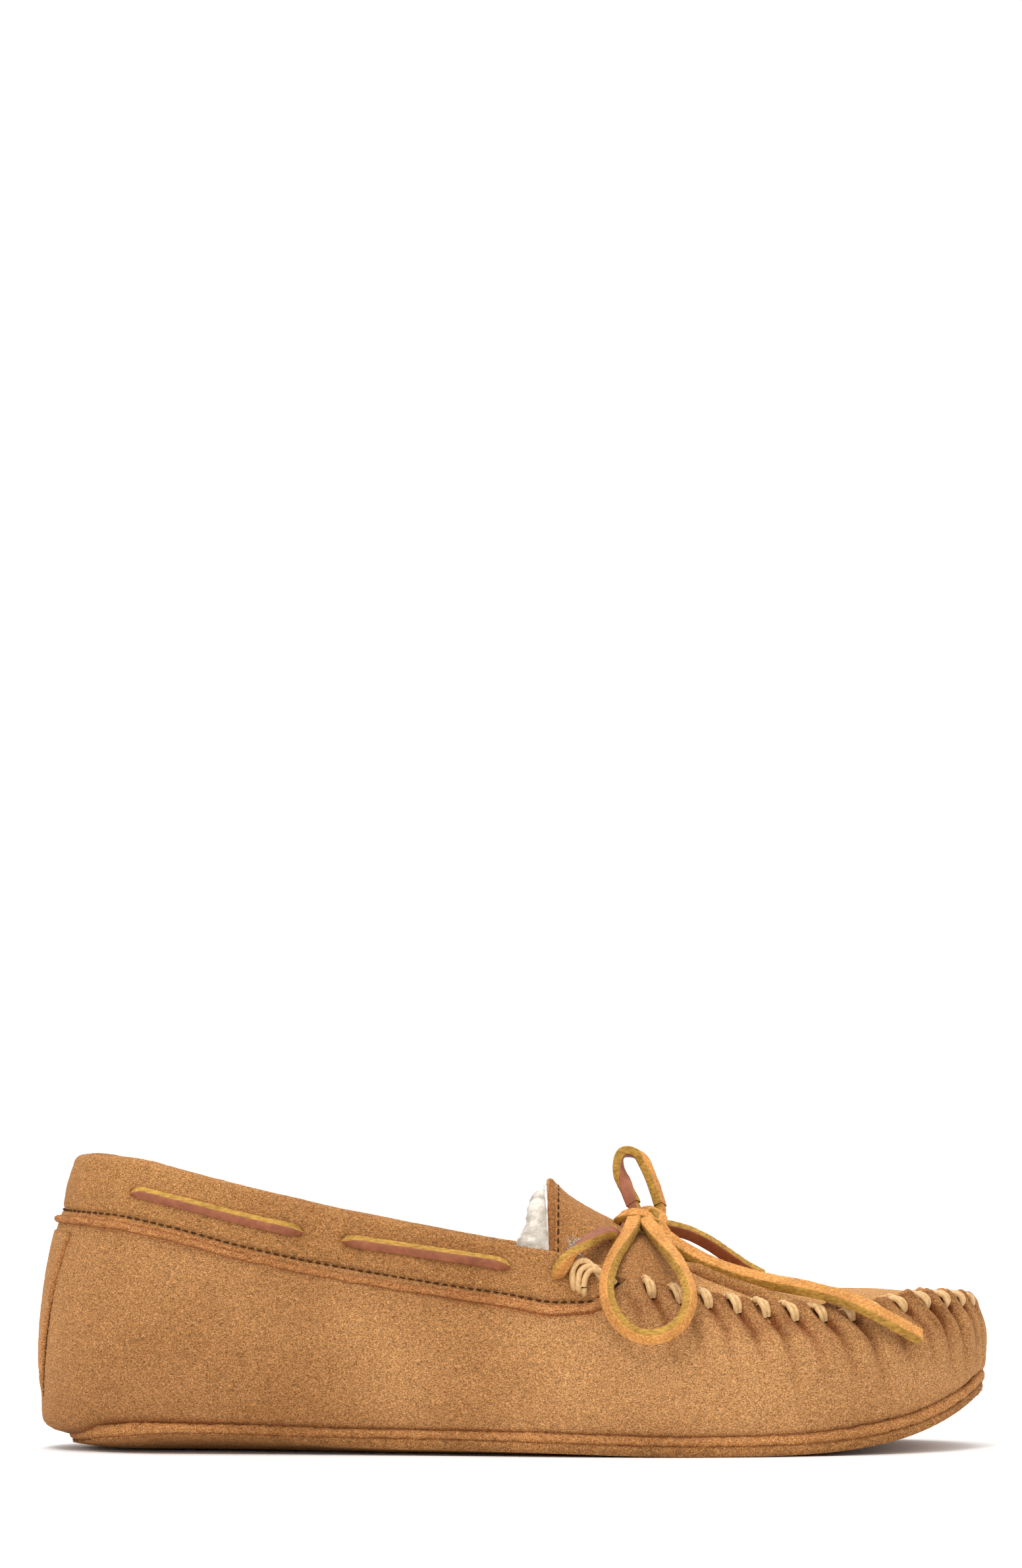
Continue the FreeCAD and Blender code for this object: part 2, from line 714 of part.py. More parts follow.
def build():
    deck = SOLE_SUEDE + CLEAR
    top = deck + FOAM
    parts = {
        "outsole": make_outsole(),
        "rand": make_rand(),
        "midsole_foam": footbed(deck, top, 2.8),
        "insole_fleece": footbed(top + CLEAR, top + CLEAR + FLEECE, LINING_OUT + FLEECE + 0.6),
        "upper": make_upper(),
        "heel_tab": make_heel_tab(),
        "heel_counter": make_counter(),
        "quarter_lining": lining(U_VAMP_IN - 1.0, U_VAMP, 0.06, 0.93, 81),
        "vamp_lining": lining(U_VAMP + 0.003, U_VAMP_IN - 0.003, 0.06, 0.8, 61),
        "collar": make_collar(),
        "collar_welt": make_welt(),
        "apron": make_plug(),
        "apron_wing_outer": make_wing(-1),
        "apron_wing_inner": make_wing(1),
        "apron_lining": make_plug_lining(),
        "tongue": make_tongue(),
        "tongue_lining": make_tongue_lining(),
        "collar_thread": make_collar_thread(),
        "heel_tab_thread": make_tab_thread(),
        "tongue_thread": make_tongue_thread(),
        "sole_thread": make_sole_thread(),
        "whip_stitches": make_whip_stitches(),
        "end_wraps_outer": make_end_wraps(True),
        "end_wraps_inner": make_end_wraps(False),
        "lace_knot": make_knot(),
    }
    routes = {
        "lace_collar_run": lace_route(),
        "lace_bridge_outer": BRIDGE[-1],
        "lace_bridge_inner": BRIDGE[1],
        "lace_loop_outer": LOOP_OUTER,
        "lace_loop_inner": LOOP_INNER,
        "lace_tail_outer": TAIL_OUTER,
        "lace_tail_inner": TAIL_INNER,
    }
    for name, route in routes.items():
        parts[name], smallest, length = tube(route, LACE)
        expected = math.pi * LACE**2 * length
        share = parts[name].Volume / expected
        print(f"{name}: {length:.0f} mm long, tightest bend {smallest:.1f} mm, volume share {share:.3f}")
    return parts


def main():
    os.makedirs("parts", exist_ok=True)
    for name, shape in build().items():
        box = shape.BoundBox
        state = "ok" if shape.isValid() and all(s.Volume > 0 for s in shape.Solids) else "BAD"
        corners = (box.XMin, box.YMin, box.ZMin, box.XMax, box.YMax, box.ZMax)
        spans = " ".join(f"{c:.1f}" for c in corners)
        print(f"{name}: {len(shape.Solids)} solids, {state}, {shape.Volume / 1000:.2f} cm3, {spans}")
        shape.exportStep(f"parts/{name}.step")


main()
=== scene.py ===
"""The looks of a fleece-lined suede moccasin slipper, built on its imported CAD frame.

Shapes are worked out in millimetres and turned into metres where a mesh is made. +X runs from heel to
toe, +Y to the inner side, +Z up. As in the part's source, one closed outline carries the upper: a place on
it is (u, v), where u runs once round from the back of the heel along the outer side, and v from the sole
seam to the upper's top edge.
"""

import itertools
import math

import bpy
import numpy as np
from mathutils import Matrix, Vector


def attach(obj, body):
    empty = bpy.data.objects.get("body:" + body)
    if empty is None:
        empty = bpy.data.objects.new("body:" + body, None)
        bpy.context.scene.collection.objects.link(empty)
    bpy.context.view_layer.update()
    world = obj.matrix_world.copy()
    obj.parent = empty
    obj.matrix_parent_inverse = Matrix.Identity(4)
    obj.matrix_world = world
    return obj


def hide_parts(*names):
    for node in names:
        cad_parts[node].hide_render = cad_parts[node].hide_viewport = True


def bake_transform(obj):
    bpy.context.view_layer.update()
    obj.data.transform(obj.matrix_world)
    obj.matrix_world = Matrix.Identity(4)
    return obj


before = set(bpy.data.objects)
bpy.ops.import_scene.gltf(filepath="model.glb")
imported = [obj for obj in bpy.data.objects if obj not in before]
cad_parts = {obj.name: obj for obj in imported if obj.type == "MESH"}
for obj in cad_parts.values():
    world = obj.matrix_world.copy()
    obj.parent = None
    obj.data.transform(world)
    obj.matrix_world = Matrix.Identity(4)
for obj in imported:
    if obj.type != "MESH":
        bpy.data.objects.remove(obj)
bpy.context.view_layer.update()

MM = 0.001

# ---------------------------------------------------------------- the shoe's sizes, as in the part's source

LENGTH, WIDTH = 289.0, 106.0
SUEDE, SOLE_SUEDE, COUNTER, FOAM, FLEECE, CLEAR = 1.6, 2.4, 0.8, 4.6, 6.0, 0.35
LINING_OUT = SUEDE + COUNTER + 3 * CLEAR
TOE_SPRING, SPRING_START, SPRING_POWER, FLAT_CUT = 19.0, 40.0, 4.5, 0.6
COLLAR_ROLL = 3.6
COLLAR_SUEDE = SUEDE * 0.9
WELT_HEIGHT = 3.1
THREAD_PITCH = 3.4
WHIP_PITCH = 8.7
TONGUE_RIM = 11.0
COLLAR_FRONT = 27.0
EDGE_TUCK, TUCK_X = 1.5, 34.0  # how far the apron's edge is tucked under the upper's, most at this x
TOE_CORNER = 126.0  # x where the apron's straight sides give way to its rounded front
FRONT_HOLE_X = 12.0
OUTSIDE_RUNS = ((-117, -66), (-51, -4.5))

OUTLINE = [
    (-147, -1), (-137, -24), (-112, -37), (-72, -39), (-32, -43), (8, -50), (44, -54.5), (80, -51),
    (112, -40), (137, -20), (148, 9), (139, 35), (114, 49), (80, 54), (46, 53), (6, 46), (-34, 38.5),
    (-74, 35.5), (-112, 33.5), (-137, 22),
]  # fmt: skip
SOLE_HALF = [(-112, 35), (-72, 37), (-32, 40), (8, 47), (44, 52), (80, 50), (112, 44), (137, 38)]
SOLE_LIFT = [
    (-144, 1), (-135, 1.6), (-124, 3.4), (-110, 4), (-50, 2.7), (0, 2), (55, 0.8), (100, 0.9), (144, 0.4),
]  # fmt: skip
SEAM_INSET = [(-144, 9.5), (-132, 5.5), (-110, 3.2), (0, 3), (100, 3), (144, 2.5)]
SEAM_Z = [
    (-144, 4.4), (-135, 5.2), (-126, 8.4), (-110, 9.4), (-50, 8), (0, 7.4), (55, 6), (80, 6.4), (96, 7.6),
    (112, 10), (128, 13.8), (137, 18), (144, 22.5),
]  # fmt: skip
SEAM_ROUND = [(-144, 10), (-128, 5), (-112, 2.6), (122, 2.4), (144, 7)]
WIDEST_Z = [(-144, 21), (-60, 22), (40, 23), (105, 26), (144, 31)]
TOP_INSET = [
    (-144, 6.5), (-120, 4.5), (-90, 3), (-60, 2.5), (-30, 4), (0, 6.5), (20, 9.5), (34, 12.5), (55, 13.5),
    (85, 13), (108, 11), (128, 7.6), (144, 5.6),
]  # fmt: skip
TOP_Z = [
    (-144, 71.8), (-126, 71.2), (-105, 67.6), (-85, 62.4), (-66, 58.2), (-43, 54), (-23, 50.8), (-4, 48),
    (12, 45.4), (20, 45.6), (26, 47.6), (31, 51.5), (36, 54), (41, 52), (55, 49.7), (75, 46.6), (94, 44.6),
    (108, 44.7), (121, 46.5), (132, 47.6), (144, 46.9),
]  # fmt: skip
TOP_ROUND = [(-144, 2.6), (-60, 2), (40, 2.1), (144, 2)]
COLLAR_INSET = [(-144, 9.5), (-120, 8), (-90, 6), (-60, 5.5), (-30, 7.5), (0, 10.5), (20, 12.5), (34, 13)]
COLLAR_Z = [
    (-144, 89.8), (-127, 89.6), (-115, 88.6), (-103, 86), (-79, 80.2), (-55, 74.6), (-43, 72.2), (-19, 67),
    (-1, 63.4), (12, 61), (20, 58.4), (28, 56.4), (34, 54.8),
]  # fmt: skip
COLLAR_INNER = [(-144, 15), (-10, 14), (8, 10), (20, 4.6), (34, 2.2)]
COLLAR_R = [(-144, COLLAR_ROLL), (-5, COLLAR_ROLL), (15, 2.3), (34, 1.9)]
LACE_V = [(-120, 0.23), (-60, 0.24), (0, 0.3)]
CROWN_Z = [
    (9, 82.9), (11, 82), (17, 77.4), (23, 74), (29, 70.9), (35, 68.2), (42, 65.8), (47, 62.6), (53, 58.1),
    (62, 54.3), (73, 51.6), (85, 49.6), (98, 48.6), (118, 48.4), (132, 48.2), (144, 46.4),
]  # fmt: skip
# How much lower the collar and the puckered seam are on the inner side
COLLAR_DROP = [(-140, 0), (-112, 2.4), (-20, 2.2), (20, 0.6), (34, 0)]
SEAM_DROP = [(60, 0), (105, 2.4), (144, 2.2)]
EDGE_Z = [
    (9, 55), (19, 56.6), (26, 54.6), (34, 53), (41, 50.4), (55, 48.1), (75, 45), (94, 43), (108, 44.2),
    (121, 46.2), (132, 47.6), (144, 46.4),
]  # fmt: skip

# Routes of the lace's free parts, as in the part's source
BRIDGE_OUTER = [
    (13, -39.4, 54.6), (13.8, -43.4, 57), (17.4, -41.6, 61.2), (22.4, -33.4, 64.6), (27.2, -26.4, 67),
    (30.5, -23, 66.6), (31, -21.8, 63.6),
]  # fmt: skip
BRIDGE_INNER = [
    (13, 36, 54.6), (13.8, 40, 57), (17.4, 38.6, 61.2), (22.4, 32.2, 65), (27.2, 26.2, 67.2),
    (30.5, 23, 66.4), (31, 21.8, 63.2),
]  # fmt: skip
LOOP_OUTER = [
    (37, -6.5, 71.4), (36.2, -14, 68.8), (34, -23, 65.2), (29.6, -37, 59.4), (27.2, -49, 51.6),
    (29, -55.6, 43.6), (34.8, -57.8, 37.6), (42.2, -58, 36.2), (49, -57.4, 39.4), (52.8, -54.6, 45.2),
    (52.6, -47.6, 52.2), (48.8, -36, 59), (44.2, -22.6, 64.2), (39.6, -9.5, 70),
]  # fmt: skip
LOOP_INNER = [
    (36.4, 4.6, 74.2), (34.4, 7.6, 79), (31.6, 10.4, 84.4), (32.2, 13, 90.4), (38.6, 14.2, 89.4),
    (41.4, 12.4, 83.2), (43.4, 10, 78), (44.6, 7.6, 73.6),
]  # fmt: skip
TAIL_OUTER = [
    (43.5, -7, 66.4), (52, -12.4, 60), (64, -18.4, 55), (77, -25.4, 51.8), (90, -32.6, 50),
    (103, -38.4, 46.4), (114, -38.8, 40.6), (122.5, -34.6, 35.6),
]  # fmt: skip
TAIL_INNER = [
    (44, 4.6, 67.6), (51, 8, 66.4), (59, 12, 62.6), (66, 16, 57.6), (71.5, 19.6, 53.6), (76, 22.6, 51.4),
]  # fmt: skip

LACE_WIDE, LACE_THICK = 3.3, 2.4

# Sizes that only the looks need
NAP = 0.12  # how far the suede's surface roughness stands out
PILE_LAYERS = (5.5, 0.5), (2.6, 0.35), (1.3, 0.2)  # (cell, height) of the wool's locks
HEEL_INSET = 1.6  # how far the sole's layers are drawn in at the back of the heel
HEEL_EASE = 3.4  # how far the underside's edge eases up there
HEEL_START, HEEL_LENGTH = -110, 34  # x where the sole's rounded heel begins, and its length
MIDDLE_LINE = (-104, 96)  # x of both ends of the line that the sole's layers spread from
TAB_FOOT, TAB_SPAN = 0.16, 0.755  # where the heel tab starts on the upper, and how far up it goes, in v
WHIP_RADIUS, WHIP_GAP = 0.86, 0.7
WRAP_RADIUS, WRAP_TURNS = 0.95, 3
COLLAR_LACE_THICK, KNOT_THICK = 2.9, 2.5
FLOOR_HALF = 12.0  # metres
CAMERA_PLACE, CAMERA_LENS = (-0.0011, -3.3, 0.2028), 247.9  # metres and millimetres


# ---------------------------------------------------------------- numbers and noise


def keyed(keys, x):
    """The value at x of a smooth line through the keys, held flat beyond its ends."""
    xs, ys = np.array(keys, float).T
    x = np.clip(x, xs[0], xs[-1])
    step = np.diff(xs)
    rise = np.diff(ys) / step
    slope = np.zeros_like(ys)
    product = rise[:-1] * rise[1:]
    total = rise[:-1] + rise[1:]
    slope[1:-1] = np.where(product > 0, 2 * product / np.where(total == 0, 1, total), 0)
    i = np.clip(np.searchsorted(xs, x, side="right") - 1, 0, len(xs) - 2)
    t = (x - xs[i]) / step[i]
    a, b, ma, mb = ys[i], ys[i + 1], slope[i] * step[i], slope[i + 1] * step[i]
    values = (2 * t**3 - 3 * t**2 + 1) * a + (t**3 - 2 * t**2 + t) * ma
    return values + (3 * t**2 - 2 * t**3) * b + (t**3 - t**2) * mb


def smooth(t):
    """A smooth step from 0 to 1 as t goes from 0 to 1, held flat outside."""
    t = np.clip(t, 0, 1)
    return t * t * (3 - 2 * t)


def hump(distance, width):
    """A bell curve: 1 where the distance is 0, and 1/e one width away."""
    return np.exp(-((distance / width) ** 2))


def unit(v):
    """Vectors scaled to length 1."""
    return v / np.maximum(np.linalg.norm(v, axis=-1, keepdims=True), 1e-9)


def bumps(points, cell, seed):
    """Smooth noise from -1 to 1 at points in millimetres, with bumps about `cell` across."""
    size = 32
    lattice = np.random.default_rng(seed).uniform(-1, 1, (size, size, size))
    q = np.asarray(points, float) / cell + 1000.0
    low = np.floor(q).astype(int)
    f = q - low
    f = f * f * (3 - 2 * f)
    total = np.zeros(q.shape[:-1])
    for corner in itertools.product((0, 1), repeat=3):
        weight = np.prod(np.where(np.array(corner) == 1, f, 1 - f), axis=-1)
        i, j, k = np.moveaxis((low + corner) % size, -1, 0)
        total += weight * lattice[i, j, k]
    return total


def rough(points, seed, *layers):
    """Layers of noise added up, each (cell, height) in millimetres."""
    return sum(height * bumps(points, cell, seed + 17 * n) for n, (cell, height) in enumerate(layers))


# ---------------------------------------------------------------- the outline and the surfaces on it


def outline_table(per_span=40):
    """Points of the outline, a closed uniform cubic B-spline, fitted to LENGTH by WIDTH and centred."""
    points = np.array(OUTLINE, float)
    t = np.arange(per_span)[:, None] / per_span
    weights = ((1 - t) ** 3, 3 * t**3 - 6 * t**2 + 4, -3 * t**3 + 3 * t**2 + 3 * t + 1, t**3)
    spans = []
    for i in range(len(points)):
        quad = [points[(i + k - 1) % len(points)] for k in range(4)]
        spans.append(sum(w * q for w, q in zip(weights, quad)) / 6)
    found = np.concatenate(spans)
    low, high = found.min(0), found.max(0)
    found = (found - (low + high) / 2) * np.array([LENGTH, WIDTH]) / (high - low)
    return np.concatenate([found, found[:1]])


RING = outline_table()
RING_S = np.concatenate([[0], np.cumsum(np.linalg.norm(np.diff(RING, axis=0), axis=1))])
ROUND_IT = RING_S[-1]
TANGENT = np.roll(RING[:-1], -1, axis=0) - np.roll(RING[:-1], 1, axis=0)
TANGENT = np.concatenate([TANGENT, TANGENT[:1]])


def ring(u):
    """x and y of the outline at u, and its outward normal."""
    s = np.mod(u, 1.0) * ROUND_IT
    x, y = np.interp(s, RING_S, RING[:, 0]), np.interp(s, RING_S, RING[:, 1])
    tx, ty = np.interp(s, RING_S, TANGENT[:, 0]), np.interp(s, RING_S, TANGENT[:, 1])
    size = np.hypot(tx, ty)
    return x, y, ty / size, -tx / size


U_OUTER = np.linspace(0.02, 0.49, 2000)
U_INNER = np.linspace(0.98, 0.51, 2000)


def u_at(x, outer=True):
    """The u of the outline's point at x, on the outer side or the inner one."""
    us = U_OUTER if outer else U_INNER
    return np.interp(x, ring(us)[0], us)


U_FRONT = float(u_at(COLLAR_FRONT))
U_FRONT_IN = float(u_at(COLLAR_FRONT, False)) - 1.0


def drop_of(keys, x, y):
    """How much lower the inner side is at x, y."""
    return keyed(keys, x) * smooth((y + 8) / 20)


def wall_height(x):
    """How far the upper's top edge is above the sole seam, on the outer side."""
    return keyed(TOP_Z, x) - keyed(SEAM_Z, x)


def top_z(x, y):
    """Height of the upper's top edge."""
    return keyed(TOP_Z, x) - drop_of(SEAM_DROP, x, y)


def wall_raw(u, v):
    """The upper's outer surface."""
    x, y, nx, ny = ring(u)
    zb, zm, zt = keyed(SEAM_Z, x), keyed(WIDEST_Z, x), top_z(x, y)
    z = zb + (zt - zb) * v
    low = keyed(SEAM_INSET, x) * np.clip((zm - z) / (zm - zb), 0, None) ** keyed(SEAM_ROUND, x)
    high = keyed(TOP_INSET, x) * np.clip((z - zm) / (zt - zm), 0, None) ** keyed(TOP_ROUND, x)
    inset = np.where(z < zm, low, high)
    return np.stack([x - nx * inset, y - ny * inset, z], axis=-1)


def collar_raw(u, v):
    """The collar's outer surface: up the outer leaf, over the rolled edge and down inside."""
    x, y, nx, ny = ring(u)
    zt, zc, r = keyed(TOP_Z, x) + CLEAR, keyed(COLLAR_Z, x) - drop_of(COLLAR_DROP, x, y), keyed(COLLAR_R, x)
    low, high = keyed(TOP_INSET, x), keyed(COLLAR_INSET, x)
    up, over, down = v / 0.4, math.pi * (v - 0.4) / 0.3, (v - 0.7) / 0.3
    z = np.where(
        v < 0.4,
        zt + (zc - r - zt) * up,
        np.where(v < 0.7, zc - r + r * np.sin(over), zc - r - keyed(COLLAR_INNER, x) * down),
    )
    inset = np.where(
        v < 0.4,
        low + (high - low) * up,
        np.where(v < 0.7, high + r - r * np.cos(over), high + 2 * r + 0.6 * down),
    )
    return np.stack([x - nx * inset, y - ny * inset, z], axis=-1)


def normals(surface, a, b, low=0.0, high=1.0, step=1e-3):
    """Unit normals of a surface, (d/da) x (d/db)."""
    da = surface(a + step, b) - surface(a - step, b)
    db = surface(a, np.clip(b + 5 * step, low, high)) - surface(a, np.clip(b - 5 * step, low, high))
    return unit(np.cross(da, db))


def wall(u, v, out=0.0):
    """A place `out` millimetres outside the upper's surface."""
    return wall_raw(u, v) + normals(wall_raw, u, v) * np.asarray(out)[..., None]


def collar(u, v, out=0.0):
    """A place `out` millimetres outside the collar's surface."""
    return collar_raw(u, v) + normals(collar_raw, u, v) * np.asarray(out)[..., None]


def edge_curve(outer, by_collar):
    """x and y of the apron's edge on one side, in order of x, inside the collar's leaf or the upper."""
    x, y, nx, ny = ring(U_OUTER if outer else U_INNER)
    if by_collar:
        inset = keyed(COLLAR_INSET, x) + 2 * keyed(COLLAR_R, x) + 3 * CLEAR
    else:
        inset = keyed(TOP_INSET, x) + SUEDE + CLEAR
    order = np.argsort(x - nx * inset)
    return (x - nx * inset)[order], (y - ny * inset)[order]


EDGES = {(outer, by): edge_curve(outer, by) for outer in (True, False) for by in (True, False)}


def edge_y(x, outer):
    """y of the apron's edge at x on one side. It widens where the collar gives way to the upper."""
    by_collar, by_upper = np.interp(x, *EDGES[outer, True]), np.interp(x, *EDGES[outer, False])
    tuck = EDGE_TUCK * hump(x - TUCK_X, 4.5)
    return by_collar + (by_upper - by_collar) * smooth((x - COLLAR_FRONT) / 3.5) + (-tuck if outer else tuck)


def toe_edge(a):
    """x, y of the apron's rounded front edge, from its outer corner (a = -1) to its inner one."""
    start, end = float(u_at(TOE_CORNER)), float(u_at(TOE_CORNER, False))
    x0, y0, nx, ny = ring(start + (end - start) * (a + 1) / 2)
    inset = keyed(TOP_INSET, x0) + SUEDE + CLEAR
    return x0 - nx * inset, y0 - ny * inset


def apron_raw(a, b):
    """The apron and tongue as one skin: b runs from the tongue's rim to the toe, a from edge to edge."""
    a, b = np.broadcast_arrays(a, b)
    s, t = ((a + 1) / 2)[..., None], b[..., None]

    def side(outer):
        last = float(toe_edge(np.array(-1.0 if outer else 1.0))[0])
        x = TONGUE_RIM + (last - TONGUE_RIM) * b
        return np.stack([x, edge_y(x, outer)], axis=-1)

    front = np.stack(toe_edge(a), axis=-1)
    front_corners = [np.array(toe_edge(np.array(k)), float) for k in (-1.0, 1.0)]
    flat = t * front + (1 - s) * side(True) + s * side(False)
    flat = flat - t * ((1 - s) * front_corners[0] + s * front_corners[1])
    x, y = flat[..., 0], flat[..., 1]
    ahead = np.clip((b - 0.62) / 0.38, 0, 1) ** 2
    rim = np.clip((np.abs(a) ** 5 + ahead**5) ** 0.2, 0, 1)
    top, low = keyed(CROWN_Z, x), keyed(EDGE_Z, x) - drop_of(SEAM_DROP, x, y)
    return np.stack([x, y, top - (top - low) * rim**2.1], axis=-1)


def apron(a, b, out=0.0):
    """A place `out` millimetres above the apron's surface."""
    return apron_raw(a, b) - normals(apron_raw, a, b) * np.asarray(out)[..., None]


def sole_z(x):
    """Height of the sole's lowest line."""
    share = np.clip(x - SPRING_START, 0, None) / (LENGTH / 2 - SPRING_START)
    return TOE_SPRING * share**SPRING_POWER


def sole_share(x, y):
    """How far out a place on the sole is, from 0 on its middle line to 1 at its edge."""
    return np.hypot(y / keyed(SOLE_HALF, x), np.clip(HEEL_START - x, 0, None) / HEEL_LENGTH)


def edge_lift(x, y):
    """How far the soft sole curls up towards its edge."""
    return keyed(SOLE_LIFT, x) * np.clip(sole_share(x, y), 0, 1.1) ** 3


# ---------------------------------------------------------------- stitches along the puckered seam


def along(line, start, end, pitch):
    """Parameters of a line, `pitch` apart along it."""
    us = np.linspace(start, end, 4000)
    points = line(us)
    s = np.concatenate([[0], np.cumsum(np.linalg.norm(np.diff(points, axis=0), axis=1))])
    return np.interp(np.arange(0, s[-1], pitch), s, us)


STITCH_U = along(lambda u: wall_raw(u, 1.0), float(u_at(39.0)), float(u_at(39.0, False)), WHIP_PITCH)
STITCH_DROP = 2.9  # how far below the seam's ridge a stitch's outer hole lies


def lean(u, drop):
    """How far forward of its stitch, in u, a furrow lies at `drop` below the ridge."""
    toward_toe = np.clip((0.5 - u) / 0.05, -1, 1)
    return toward_toe * (0.7 * np.minimum(drop, 9) + 0.25 * np.clip(drop - 9, 0, None)) / ROUND_IT


def seam_phase(u, drop):
    """Which stitch a place on the wall belongs to: whole numbers are the furrows below the stitches."""
    index = np.arange(len(STITCH_U))
    first, last = STITCH_U[1] - STITCH_U[0], STITCH_U[-1] - STITCH_U[-2]
    us = np.concatenate([[STITCH_U[0] - 4 * first], STITCH_U, [STITCH_U[-1] + 4 * last]])
    return np.interp(u - lean(u, drop), us, np.concatenate([[-4], index, [index[-1] + 4]]))


def seam_strength(u):
    """1 along the puckered seam, 0 behind it."""
    x = ring(u)[0]
    return smooth((x - 30) / 9)


# ---------------------------------------------------------------- meshes


def piece(name, points, faces, materials, body="shoe", shade=None, indices=None):
    """A mesh object from points in millimetres, smooth shaded, riding on a body unless body is None."""
    mesh = bpy.data.meshes.new(name)
    mesh.from_pydata((np.asarray(points, float) * MM).tolist(), [], [list(map(int, f)) for f in faces])
    for material in materials if isinstance(materials, (list, tuple)) else [materials]:
        mesh.materials.append(material)
    if indices is not None:
        mesh.polygons.foreach_set("material_index", np.asarray(indices, np.int32))
    if shade is not None:
        attribute = mesh.attributes.new("shade", "FLOAT", "POINT")
        attribute.data.foreach_set("value", np.asarray(shade, np.float32).ravel())
    mesh.validate()
    mesh.polygons.foreach_set("use_smooth", np.ones(len(mesh.polygons), bool))
    mesh.update()
    obj = bpy.data.objects.new(name, mesh)
    bpy.context.scene.collection.objects.link(obj)
    if body:
        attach(obj, body)
    return obj


def weave(rows, columns, close_rows, close_columns):
    """Quads of a grid of rows x columns points, which may close on itself either way."""
    i = np.arange(rows if close_rows else rows - 1)[:, None]
    j = np.arange(columns if close_columns else columns - 1)[None, :]
    a, b = i * columns, ((i + 1) % rows) * columns
    c = (j + 1) % columns
    return np.stack(np.broadcast_arrays(a + j, b + j, b + c, a + c), axis=-1).reshape(-1, 4)


def loft(rows, close_rows=False):
    """Points and faces of a solid through closed sections. Its ends are capped unless the rows close."""
    n, m = rows.shape[:2]
    faces = [tuple(f) for f in weave(n, m, close_rows, True)]
    if not close_rows:
        faces.append(tuple(range(m - 1, -1, -1)))
        faces.append(tuple(range((n - 1) * m, n * m)))
    return rows.reshape(-1, 3), faces


def joined(parts):
    """One set of points and faces from several."""
    points, faces, count = [], [], 0
    for p, f in parts:
        points.append(p)
        faces += [tuple(count + i for i in face) for face in f]
        count += len(p)
    return np.concatenate(points), faces


def skin(surface, us, vs, thick, outside=0.0, detail=None, inner=14, inside=None):
    """A sheet of material with rounded edges, as closed sections along v, one for each u.

    detail(u, v, points) moves the outer face out, and inside(u, v, points) the inner one."""
    u, v = us[:, None], vs[None, :]
    w = np.linspace(vs[-1], vs[0], inner)[None, :]
    outer_out = np.full(np.broadcast(u, v).shape, float(outside))
    inner_out = np.full(np.broadcast(u, w).shape, outside - thick)
    if detail is not None:
        outer_out = outer_out + detail(u, v, surface(u, v))
    if inside is not None:
        inner_out = inner_out - inside(u, w, surface(u, w))
    front, back = surface(u, v, outer_out), surface(u, w, inner_out)
    top, bottom = edge_round(front[:, -2:], back[:, :2]), edge_round(back[:, -2:], front[:, :2])
    return np.concatenate([front, top, back, bottom], axis=1), len(vs)


def edge_round(before, after):
    """Points of the half round that joins one face's last point to the other's first."""
    a, b = before[:, -1], after[:, 0]
    middle, half = (a + b) / 2, (a - b) / 2
    ahead = unit(unit(before[:, -1] - before[:, -2]) - unit(after[:, 1] - after[:, 0]))
    size = np.linalg.norm(half, axis=-1, keepdims=True)
    angles = np.linspace(0, math.pi, 6)[1:-1]
    return np.stack([middle + half * math.cos(t) + ahead * size * math.sin(t) for t in angles], axis=1)


def tube_rows(path, radii, sides, up=(0, 0, 1)):
    """Rows of a round tube that follows a path."""
    path = np.asarray(path, float)
    tangent = unit(np.gradient(path, axis=0))
    across = unit(np.cross(np.broadcast_to(np.array(up, float), path.shape), tangent))
    over = np.cross(tangent, across)
    angle = np.linspace(0, 2 * math.pi, sides, endpoint=False)
    radii = np.broadcast_to(np.asarray(radii, float), (len(path),))[:, None, None]
    circle = np.cos(angle)[None, :, None] * across[:, None]
    circle = circle + np.sin(angle)[None, :, None] * over[:, None]
    return path[:, None] + radii * circle


def smooth_path(points, count):
    """Evenly spaced points on a Catmull-Rom curve through a few points."""
    p = np.asarray(points, float)
    p = np.concatenate([[2 * p[0] - p[1]], p, [2 * p[-1] - p[-2]]])
    found = []
    for a, b, c, d in zip(p, p[1:], p[2:], p[3:]):
        t = np.linspace(0, 1, 20, endpoint=False)[:, None]
        curve = 2 * b + (c - a) * t + (2 * a - 5 * b + 4 * c - d) * t**2
        found.append(0.5 * (curve + (3 * b - a - 3 * c + d) * t**3))
    return evenly(np.concatenate([*found, p[-2:-1]]), count)


def evenly(points, count):
    """Evenly spaced points along a line of points."""
    s = np.concatenate([[0], np.cumsum(np.linalg.norm(np.diff(points, axis=0), axis=1))])
    at = np.linspace(0, s[-1], count)
    return np.stack([np.interp(at, s, points[:, k]) for k in range(3)], axis=-1)


